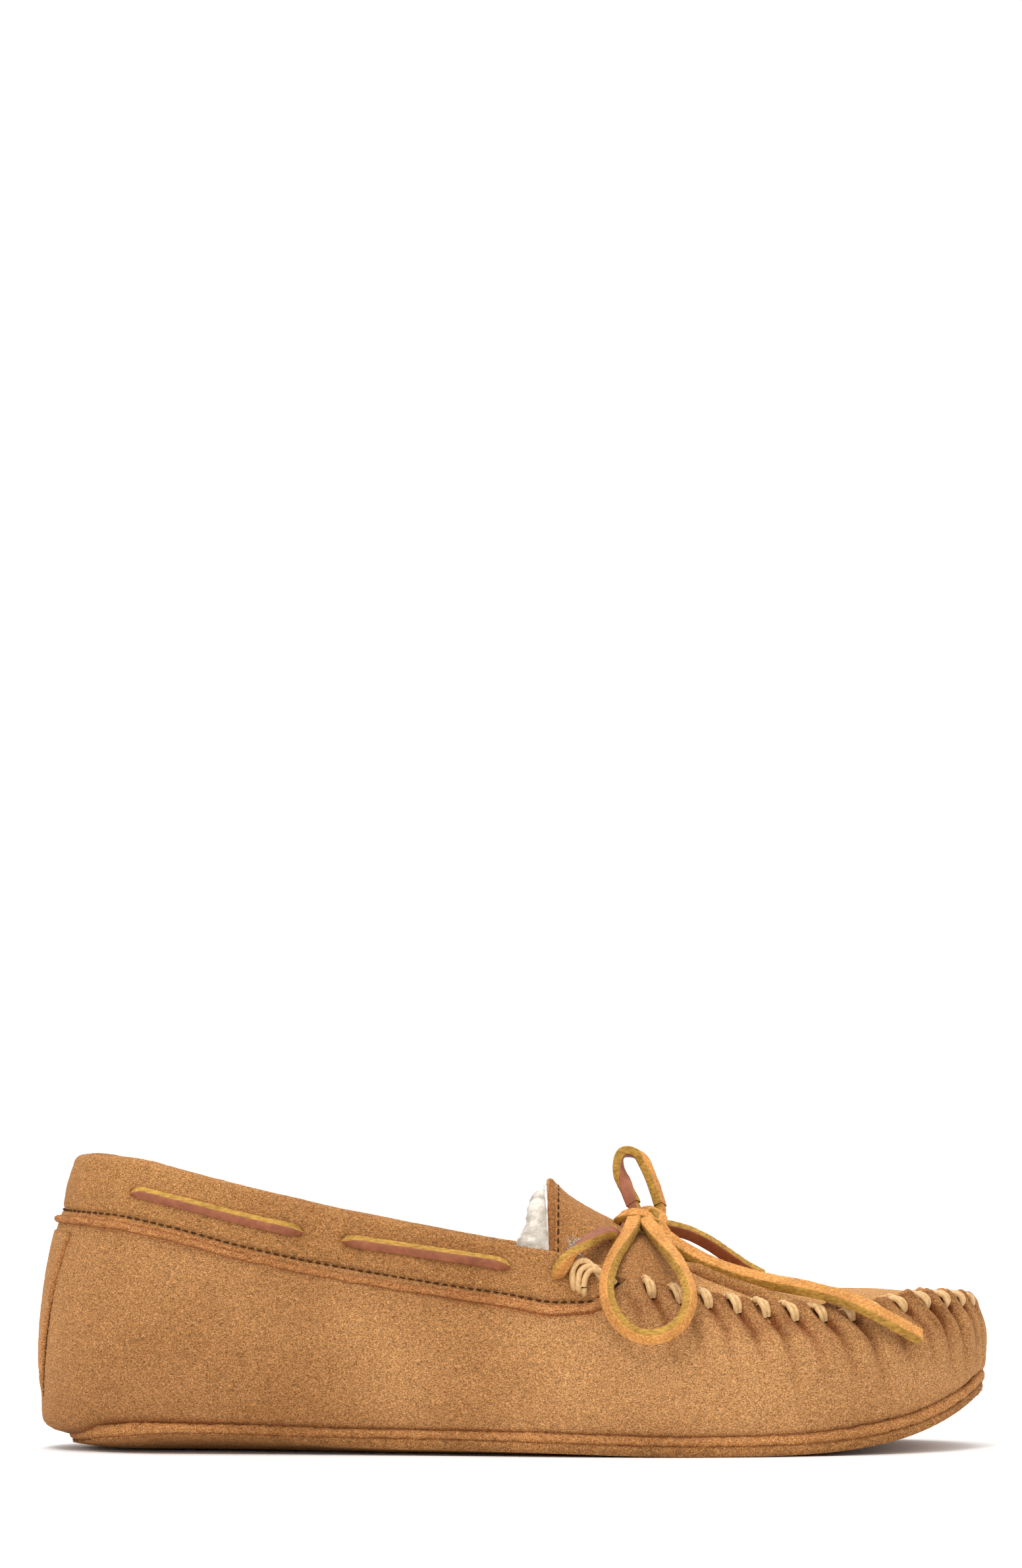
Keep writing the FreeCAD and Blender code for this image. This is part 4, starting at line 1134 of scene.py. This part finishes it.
def apron_detail(a, b, points):
    """The apron's face: small gathers at its edge, one soft rolled fold, gentle creases and nap."""
    signed, distance, at = from_fold(points)
    fade = smooth(at / 0.15) * smooth((1 - at) / 0.12) * (distance < 12)
    roll = 2.3 * hump(signed, 1.7) - 1.4 * hump(signed + 3.2, 1.3)
    roll = roll - 0.5 * hump(signed - 3.8, 2.0)
    x = points[..., 0]
    on_apron = smooth((x - 44) / 10)
    creases = 0.45 * bumps(points * [0.7, 1, 1], 30, 71) + 0.15 * bumps(points, 11, 72)
    edge = smooth((np.abs(a) - 0.9) / 0.1) * smooth((x - 34) / 8)
    gathers = edge * 0.45 * bumps(points, 4.4, 73)
    swell = 0.8 * (1 - on_apron) * bumps(points * [0.8, 0.6, 0.8], 24, 74)
    return roll * fade + creases + gathers + swell + rough(points, 75, (1.6, NAP * 0.5), (0.8, NAP * 0.35))


def build_apron():
    """The apron and tongue as one sheet of suede."""
    aa = np.linspace(1, -1, 264)
    bs = np.concatenate([np.linspace(0, 0.32, 110, endpoint=False), np.linspace(0.32, 1, 210)])
    rows, faces_out = skin(apron, aa, bs, SUEDE, 0.0, apron_detail, inner=30)
    shade = np.zeros(rows.shape[:2])
    a, b = aa[:, None], bs[None, :]
    points_out = apron_raw(a, b)
    signed, distance, at = from_fold(points_out)
    # Painted shadow under the rolled fold, and painted shade along the apron's edges where they meet the
    # upper.
    under = hump(signed + 2.7, 1.1) * smooth(at / 0.15) * smooth((1 - at) / 0.12) * (distance < 12)
    x = points_out[..., 0]
    rim = 0.5 * smooth((np.abs(a) - 0.93) / 0.07) * smooth((x - 36) / 8)
    # Darker towards the tongue, back from the apron.
    tongue_darkening = 0.42 * (1 - smooth((x - 44) / 22))
    shade[:, :faces_out] = np.clip(0.75 * under + rim + tongue_darkening, 0, 1)
    points, faces = loft(rows)
    obj = piece("apron_tongue_suede", points, faces, SUEDE_APRON, body=None, shade=shade)
    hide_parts("apron", "apron_wing_outer", "apron_wing_inner", "tongue")
    follow_tongue(obj)


def build_tongue_fleece():
    """Wool under the tongue, which swells out behind its rim."""

    def face(a, b, out=0.0):
        behind = 0.2 + 8.5 * np.abs(a) ** 1.3
        uneven = 0.3 * bumps(np.stack([0 * a, 30 * a, 0 * a], -1), 6, 311)
        shift = -behind * smooth((0.1 - b) / 0.1) * (1 + uneven)
        p = apron(a * 0.93, b + 0.012, out)
        return p + np.stack([shift, 0 * shift, 0 * shift], axis=-1)

    aa, bs = np.linspace(1, -1, 170), np.linspace(0, 0.9, 90)

    def locks(a, b, points):
        return 1.5 * rough(points, 301, (5, 0.55), (2.4, 0.4), (1.2, 0.22))

    rows, _ = skin(face, aa, bs, FLEECE, -SUEDE - CLEAR - 0.6, locks, inner=60, inside=locks)
    points, faces = loft(rows)
    obj = piece("tongue_wool", points, faces, WOOL, body=None)
    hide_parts("tongue_lining", "apron_lining")
    follow_tongue(obj)


def build_tongue_hide():
    """The white cut edge of the sheepskin's hide, just behind the tongue's suede rim."""

    def face(a, b, out=0.0):
        return apron(a * 0.97, b - 0.004, out)

    def torn(a, b, points):
        return rough(points, 331, (3, 0.3), (1.2, 0.2))

    aa, bs = np.linspace(1, -1, 170), np.linspace(0, 0.06, 8)
    rows, _ = skin(face, aa, bs, 1.0, -SUEDE - 0.1, torn, inner=6, inside=torn)
    points, faces = loft(rows)
    obj = piece("tongue_hide", points, faces, HIDE, body=None)
    follow_tongue(obj)


def build_tongue_stitching():
    """The row of stitches along the tongue's free edge."""
    def line(a):
        return apron(a, 0.0195 + 0 * a, -0.15 + 0 * a)

    obj = thread_row("tongue_stitching", line, -0.96, 0.96, "tongue_thread", radius=0.36, body=None)
    follow_tongue(obj)


def build_tongue_rim():
    """The tongue's rolled edge, a rough bead along its rim."""
    a = np.linspace(-1, 1, 260)
    path = apron(a, 0.003 + 0 * a, -0.75 + 0 * a)
    radii = 1.15 * (1 + 0.12 * bumps(path, 2.6, 341) + 0.1 * bumps(path, 1.3, 342))
    points, faces = loft(tube_rows(path, radii, 14, up=(1, 0, 0)))
    shade = 0.3 * np.ones(len(points))
    obj = piece("tongue_rim_roll", points, faces, SUEDE_RAW, body=None, shade=shade)
    follow_tongue(obj)


def build_stray_wool():
    """White fibres that have worked out through the tongue's outer side, low down beside its stitches."""
    rng = np.random.default_rng(351)
    count = 150
    a = -0.95 + 0.15 * rng.random(count)
    b = 0.05 + 0.035 * rng.random(count)
    roots = apron(a, b, 0.1 + 0 * a)
    aimed = np.array([-0.2, -0.6, 0.5]) + rng.normal(size=(count, 3)) * 0.7
    points, faces = hairs(roots, aimed, rng.uniform(1.2, 3.8, count), 0.09, 352, 0.9)
    obj = piece("stray_wool", points, faces, HIDE, body=None)
    follow_tongue(obj)


def build_counter():
    """The heel counter is never seen from outside. Its CAD piece stays and gets a board-like material."""
    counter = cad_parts["heel_counter"]
    dark, light = rgb(120, 104, 84), rgb(160, 142, 118)
    board = leather_face("counter_board", dark, light, 200, (1, 1, 1), 0.9, 0.0001)
    counter.data.materials.clear()
    counter.data.materials.append(board)


# ---------------------------------------------------------------- pieces not attached to a body


def follow_tongue(obj):
    """The piece's placement is baked into its mesh; it is not attached to a body."""
    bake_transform(obj)


# ---------------------------------------------------------------- whip stitches


def stitch_path(u, stretch):
    """One stitch's line, from its hole in the upper over the ridge to the apron."""
    x, y, nx, ny = ring(u)
    height = float(top_z(x, y) - keyed(SEAM_Z, x))

    def on_wall(drop, out):
        return wall(np.array(u + float(lean(u, drop))), np.array(1 - drop / height), np.array(out))

    top = wall_raw(np.array(u), np.array(1.0))
    inward = np.array([-nx, -ny, 0])
    back = np.array([-1.0 - 2.2 * float(smooth((x - 60) / 50)), 0, 0])
    arch = 0.35 + 0.2 * float(smooth((x - 95) / 25))
    points = [
        on_wall(STITCH_DROP + 0.4, -1.2),
        on_wall(STITCH_DROP - 0.2, 0.7),
        on_wall(STITCH_DROP - 1.1, 1.4),
        on_wall(0.7, 1.1 + 0.4 * arch),
        top + inward * 0.3 + [0, 0, arch] + 0.4 * back,
        top + inward * (1.6 + stretch) + [0, 0, 0.2] + 0.75 * back,
        top + inward * (2.8 + stretch) + [0, 0, -2.2] + back,
    ]
    return smooth_path(points, 26)


def double_cord(path, radius, gap):
    """Two strands lying side by side along a path."""
    tangent = unit(np.gradient(path, axis=0))
    hint = np.gradient(tangent, axis=0)
    side = unit(np.cross(tangent, hint + 1e-6))
    side = side * np.sign(side @ side[len(side) // 2])[:, None]
    taper = 0.6 + 0.4 * np.sin(math.pi * np.linspace(0.1, 0.75, len(path))[::-1])
    parts = []
    for k in (-1, 1):
        line = path + side * (k * gap * taper)[:, None]
        parts.append(loft(tube_rows(line, radius * taper, 10, up=tuple(side[len(side) // 2]))))
    return parts


def build_whip_stitches():
    """The doubled cord over the puckered seam, one stitch to each hole."""
    rng = np.random.default_rng(5)
    parts = []
    for u in STITCH_U:
        path = stitch_path(float(u), float(rng.uniform(-0.3, 0.6)))
        parts += double_cord(path, WHIP_RADIUS, WHIP_GAP)
    points, faces = joined(parts)
    obj = piece("whip_cord", points, faces, WAXED)
    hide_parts("whip_stitches")


WRAP_LINE = (
    # one turn of the end wraps: mm ahead of its start, share up the collar, mm off its face
    (0.4, 0.15, -0.9), (-0.2, 0.18, 1.1), (-0.7, 0.26, 1.9), (-0.4, 0.36, 2.3), (1.2, 0.44, 2.1),
    (4.0, 0.46, 1.7), (7.0, 0.38, 1.0), (9.0, 0.26, -0.5),
)  # fmt: skip


def build_end_wraps(name, node, outer):
    """Three turns of cord, which come out of the collar near its front end, arch up and go forward."""
    parts, sign = [], 1 if outer else -1
    for k in range(WRAP_TURNS):
        start = float(u_at(16.6 + 1.1 * k, outer)) - (0 if outer else 1.0)
        points = []
        for ahead, v, out in WRAP_LINE:
            u = start + sign * (ahead + 1.0 * k * math.sin(math.pi * v)) / ROUND_IT
            points.append(collar(np.array(u), np.array(v - 0.025 * k), np.array(out)))
        parts.append(loft(tube_rows(smooth_path(points, 40), WRAP_RADIUS, 12)))
    points, faces = joined(parts)
    obj = piece(name, points, faces, WAXED)
    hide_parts(node)


# ---------------------------------------------------------------- lace


def lace_section():
    """A rounded rectangle, as (across, out) shares of the lace's width and thickness."""
    corner, points = 0.34, []
    for cx, cy, start in ((1, 1, 0), (-1, 1, 90), (-1, -1, 180), (1, -1, 270)):
        for k in range(4):
            t = math.radians(start + 30 * k)
            across, out = cx * (1 - corner) + corner * math.cos(t), cy * (1 - corner) + corner * math.sin(t)
            points.append((across, out))
    return np.array(points) / 2


def strip(path, out, seed, wide=LACE_WIDE, thick=LACE_THICK, roughness=0.16, ends=(1.0, 1.0)):
    """Rows of the flat lace along a path. out points from its flesh side, away from its grain side."""
    path = np.asarray(path, float)
    tangent = unit(np.gradient(path, axis=0))
    out = np.broadcast_to(np.asarray(out, float), path.shape)
    out = unit(out - tangent * np.sum(out * tangent, axis=-1, keepdims=True))
    across = np.cross(out, tangent)
    section = lace_section()
    share = np.linspace(0, 1, len(path))
    size = ends[0] + (1 - ends[0]) * smooth(share / 0.08)
    size = size * (ends[1] + (1 - ends[1]) * smooth((1 - share) / 0.08))
    size = (size * (1 + 0.05 * bumps(path, 7, seed)))[:, None, None]
    rows = path[:, None] + size * wide * section[None, :, :1] * across[:, None]
    rows = rows + size * thick * section[None, :, 1:] * out[:, None]
    away = unit(rows - path[:, None])
    smoothness = np.clip((section[:, 1] + 0.5) / 0.6, 0.06, 1)
    noise = rough(rows, seed, (1.5, 0.6), (0.8, 0.4)) * smoothness[None]
    return rows + away * (noise * roughness)[..., None], across, out


def strip_indices(rows):
    """Which face of the lace each quad is: 0 flesh, 1 grain, 2 cut edge. The caps are cut edges."""
    section = lace_section()
    middle = (section + np.roll(section, -1, axis=0)) / 2
    kind = np.where(middle[:, 1] > 0.4, 0, np.where(middle[:, 1] < -0.4, 1, 2))
    return np.concatenate([np.tile(kind, len(rows) - 1), [2, 2]])


def strip_fuzz(rows, across, out, per_mm, seed, length=1.4):
    """Loose fibres along the lace's two flesh edges."""
    rng = np.random.default_rng(seed)
    path = rows.mean(axis=1)
    total = np.linalg.norm(np.diff(path, axis=0), axis=1).sum()
    n = int(total * per_mm)
    i = rng.integers(1, len(rows) - 1, n)
    side = rng.choice([-1, 1], n)[:, None]
    up_the_edge = out[i] * LACE_THICK * rng.uniform(0.1, 0.46, (n, 1))
    root = path[i] + across[i] * side * LACE_WIDE * 0.46 + up_the_edge
    direction = across[i] * side + out[i] * 0.5 + rng.normal(size=(n, 3)) * 0.55
    return hairs(root, direction, rng.uniform(0.35, 1.0, n) * length, 0.07, seed + 1)


def nurbs_line(name, route, count):
    """Points along the smooth line that has the route's points as its control points."""
    curve = bpy.data.curves.new(name, "CURVE")
    curve.dimensions = "3D"
    spline = curve.splines.new("NURBS")
    spline.points.add(len(route) - 1)
    for point, place in zip(spline.points, route):
        point.co = (*[c * MM for c in place], 1)
    spline.order_u = 3
    spline.use_endpoint_u = True
    spline.resolution_u = 16
    holder = bpy.data.objects.new(name, curve)
    line = bpy.data.meshes.new_from_object(holder)
    points = np.array([v.co for v in line.vertices]) / MM
    bpy.data.objects.remove(holder)
    return evenly(points, count)


def lace_piece(name, node, route, count, facing, seed, fuzz=3.0, swell=1.0):
    """A free part of the lace: its strip and its fibres."""
    path = nurbs_line(name, route, count)
    out = facing(path, np.linspace(0, 1, count)[:, None])
    rows, across, out = strip(path, out, seed, LACE_WIDE * swell, LACE_THICK * swell)
    points, faces = loft(rows)
    count_strip = len(faces)
    hair_points, hair_faces = strip_fuzz(rows, across, out, fuzz, seed + 5)
    points, faces = joined([(points, faces), (hair_points, hair_faces)])
    indices = np.concatenate([strip_indices(rows), np.full(len(faces) - count_strip, 3)])
    obj = piece(name, points, faces, LACE_FACES, body=None, indices=indices)
    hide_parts(node)
    follow_tongue(obj)


def loop_facing(centre, toward):
    """Flesh side away from a loop's centre, turned towards a direction."""

    def facing(path, share):
        radial = path - np.array(centre)
        radial[:, 1] = 0
        return unit(radial) * 0.75 + np.array(toward)

    return facing


def steady(*vectors):
    """Flesh side along vectors spaced evenly from the start to the end."""

    def facing(path, share):
        at = np.linspace(0, 1, len(vectors))
        return np.stack([np.interp(share[:, 0], at, [v[k] for v in vectors]) for k in range(3)], axis=-1)

    return facing


def build_bow():
    """The lace's free parts: two loops, two tails, two bridges, and the knot."""
    lace_piece(
        "lace_near_loop", "lace_loop_outer", LOOP_OUTER, 150, loop_facing((41.5, 0, 50), (0, -0.75, 0)), 401,
        fuzz=9.0, swell=1.3,
    )  # fmt: skip
    lace_piece(
        "lace_far_loop", "lace_loop_inner", LOOP_INNER, 70,
        steady((0.3, 0.9, 0.1), (-0.5, 0.5, 0.3), (-0.6, 0.1, 0.9), (0.8, -0.3, 0.6), (0.9, -0.3, 0.3)), 411,
        fuzz=3.0, swell=1.25,
    )  # fmt: skip
    lace_piece(
        "lace_near_tail", "lace_tail_outer", TAIL_OUTER, 110,
        steady((0.2, -0.55, 0.8), (0.2, -0.6, 0.75)), 421, fuzz=4.0, swell=1.42,
    )  # fmt: skip
    lace_piece(
        "lace_far_tail", "lace_tail_inner", TAIL_INNER, 80, steady((0.1, 0.8, 0.55), (0.1, 0.85, 0.5)), 431,
        fuzz=2.0, swell=1.22,
    )  # fmt: skip
    lace_piece(
        "lace_near_bridge", "lace_bridge_outer", BRIDGE_OUTER, 50,
        steady((0.3, -0.9, -0.3), (0.1, -0.5, -0.8), (0, 0.4, -0.9), (0, 0.8, -0.6)), 441,
        fuzz=3.5, swell=1.2,
    )  # fmt: skip
    lace_piece(
        "lace_far_bridge", "lace_bridge_inner", BRIDGE_INNER, 50,
        steady((0.3, 0.9, -0.3), (0.1, 0.5, -0.8), (0, -0.4, -0.9), (0, -0.8, -0.6)), 451, fuzz=3.5,
    )  # fmt: skip
    build_knot()


KNOT_STRAPS = (
    # the wrap over the knot's front, from its left end under the loops to its right
    ([(31.5, -5, 69.2), (33.2, -8, 71), (37, -9.6, 71.8), (40.6, -8.6, 70.8), (43, -5, 68.8),
      (43.4, 0, 67.2)], (0.0, -0.6, 0.8)),
    # the strap that comes up out of the tongue behind it
    ([(33, -10, 65), (34.4, -8.4, 68.4), (36, -5, 71), (38, 0, 71.6), (40, 4, 70)], (0.2, 0.9, -0.1)),
    # the turn on the knot's toe side
    ([(40, -7.4, 66.4), (42.8, -7.4, 67), (44.6, -5, 68.8), (44.6, 0, 70.8), (42, 3.6, 72), (38.4, 4, 71.4)],
     (0.6, -0.5, 0.5)),
    # the short pointed end below it
    ([(43, -5.4, 68.6), (45.4, -7, 66.6), (46.4, -8, 64.4)], (0.5, -0.6, 0.2)),
    ([(39, -4, 68.4), (42, -2, 66.8), (44, 2, 67.4), (43, 5, 69.6), (39.5, 6, 71.4)], (0.3, -0.2, -0.9)),
    # the far loop's two legs, where they go down into the knot
    ([(35.9, 5.4, 75.4), (36.6, 4, 73.4), (37.6, 1.6, 71.4), (38.6, -1, 69.8)], (0.3, 0.9, 0.1)),
    ([(44.3, 8.2, 74.8), (44.8, 7, 72.6), (44.2, 4.4, 70.2), (42.6, 1.6, 68.8)], (0.9, -0.3, 0.3)),
)


POINTED_STRAP, POINTED_END = 3, 0.35  # which of the straps tapers, and to what share of its width


def build_knot():
    """The bow's knot: short straps of lace laid over each other."""
    parts, kinds = [], []
    for n, (route, out) in enumerate(KNOT_STRAPS):
        path = smooth_path(route, 34)
        last = POINTED_END if n == POINTED_STRAP else 0.9
        rows, across, out_ = strip(path, np.array(out), 500 + n, LACE_WIDE, KNOT_THICK, ends=(0.9, last))
        parts.append(loft(rows))
        kinds.append(strip_indices(rows))
        fuzz = strip_fuzz(rows, across, out_, 2.5, 510 + n, 0.7)
        parts.append(fuzz)
        kinds.append(np.full(len(fuzz[1]), 3))
    points, faces = joined(parts)
    indices = np.concatenate(kinds)
    obj = piece("lace_bow_knot", points, faces, LACE_FACES, body=None, indices=indices)
    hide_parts("lace_knot")
    follow_tongue(obj)


def build_collar_lace():
    """The lace threaded in and out of the collar."""
    us = np.linspace(float(u_at(FRONT_HOLE_X - 1.5, False)) - 1.0, float(u_at(FRONT_HOLE_X - 1.5)), 700)
    x = ring(us)[0]
    share = np.zeros_like(us)
    for a, b in OUTSIDE_RUNS:
        edge = np.minimum(x - a, b - x)
        share = np.maximum(share, smooth((edge + 3.2) / 6.4))
    share = share * (np.abs(us) > 0.03)
    outside, inside = 1.15 + 0.3 * share, -COLLAR_SUEDE - LACE_THICK / 2 - 0.6
    depth = inside + (outside - inside) * share
    path = lace_on_collar(us, depth)
    facing_in = -normals(collar_raw, us, keyed(LACE_V, x))
    rows, _, _ = strip(path, facing_in + [0, 0, 0.85], 461, thick=COLLAR_LACE_THICK, roughness=0.07)
    points, faces = loft(rows)
    indices = strip_indices(rows)
    obj = piece("lace_in_collar", points, faces, [FLESH, GRAIN, CUT], indices=indices)
    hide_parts("lace_collar_run")


# ---------------------------------------------------------------- stage


def build_stage():
    """A plain white floor."""
    floor_material, _, _, shader = new_material("floor")
    shader.inputs["Base Color"].default_value = (0.93, 0.93, 0.93, 1)
    shader.inputs["Roughness"].default_value = 0.9
    shader.inputs["Specular IOR Level"].default_value = 0.1
    mesh = bpy.data.meshes.new("floor")
    half = FLOOR_HALF
    corners = [(-half, -half, 0), (half, -half, 0), (half, half, 0), (-half, half, 0)]
    mesh.from_pydata(corners, [], [(0, 1, 2, 3)])
    mesh.materials.append(floor_material)
    floor = bpy.data.objects.new("floor", mesh)
    bpy.context.scene.collection.objects.link(floor)


def add_light(name, place, aim, size, power):
    """A square area light at a place, turned towards another."""
    light = bpy.data.lights.new(name, "AREA")
    light.size, light.energy = size, power
    obj = bpy.data.objects.new(name, light)
    obj.location = place
    direction = np.array(aim, float) - np.array(place, float)
    obj.rotation_euler = Vector(direction).to_track_quat("-Z", "Y").to_euler()
    bpy.context.scene.collection.objects.link(obj)


def build_lights():
    """A white world and two soft lights, one from the near side and one from above."""
    world = bpy.data.worlds.new("studio")
    world.use_nodes = True
    world.node_tree.nodes["Background"].inputs["Color"].default_value = (1, 1, 1, 1)
    world.node_tree.nodes["Background"].inputs["Strength"].default_value = 0.9
    bpy.context.scene.world = world
    add_light("key", (-0.5, -1.2, 1.9), (0, 0, 0.04), 0.9, 16)
    add_light("top", (0.1, 0.4, 2.2), (0, 0, 0.04), 1.2, 15)


def build_camera():
    """The camera looks level along +Y from a little above the shoe, which lies low in its frame."""
    camera = bpy.data.cameras.new("camera")
    camera.sensor_fit = "VERTICAL"
    camera.sensor_height = 36.0
    camera.lens = CAMERA_LENS
    obj = bpy.data.objects.new("camera", camera)
    obj.location = CAMERA_PLACE
    obj.rotation_euler = (math.pi / 2, 0, 0)
    bpy.context.scene.collection.objects.link(obj)
    bpy.context.scene.camera = obj
    bpy.context.scene.view_settings.view_transform = "Standard"
    bpy.context.scene.view_settings.exposure = 0.25


build_camera()
build_stage()
build_lights()
build_bow()
build_collar_lace()
build_upper()
build_collar()
build_welt()
build_threads()
build_heel()
build_sole()
build_linings()
build_apron()
build_tongue_fleece()
build_tongue_hide()
build_tongue_stitching()
build_tongue_rim()
build_stray_wool()
build_whip_stitches()
build_end_wraps("wrap_cord_outer", "end_wraps_outer", True)
build_end_wraps("wrap_cord_inner", "end_wraps_inner", False)
build_counter()
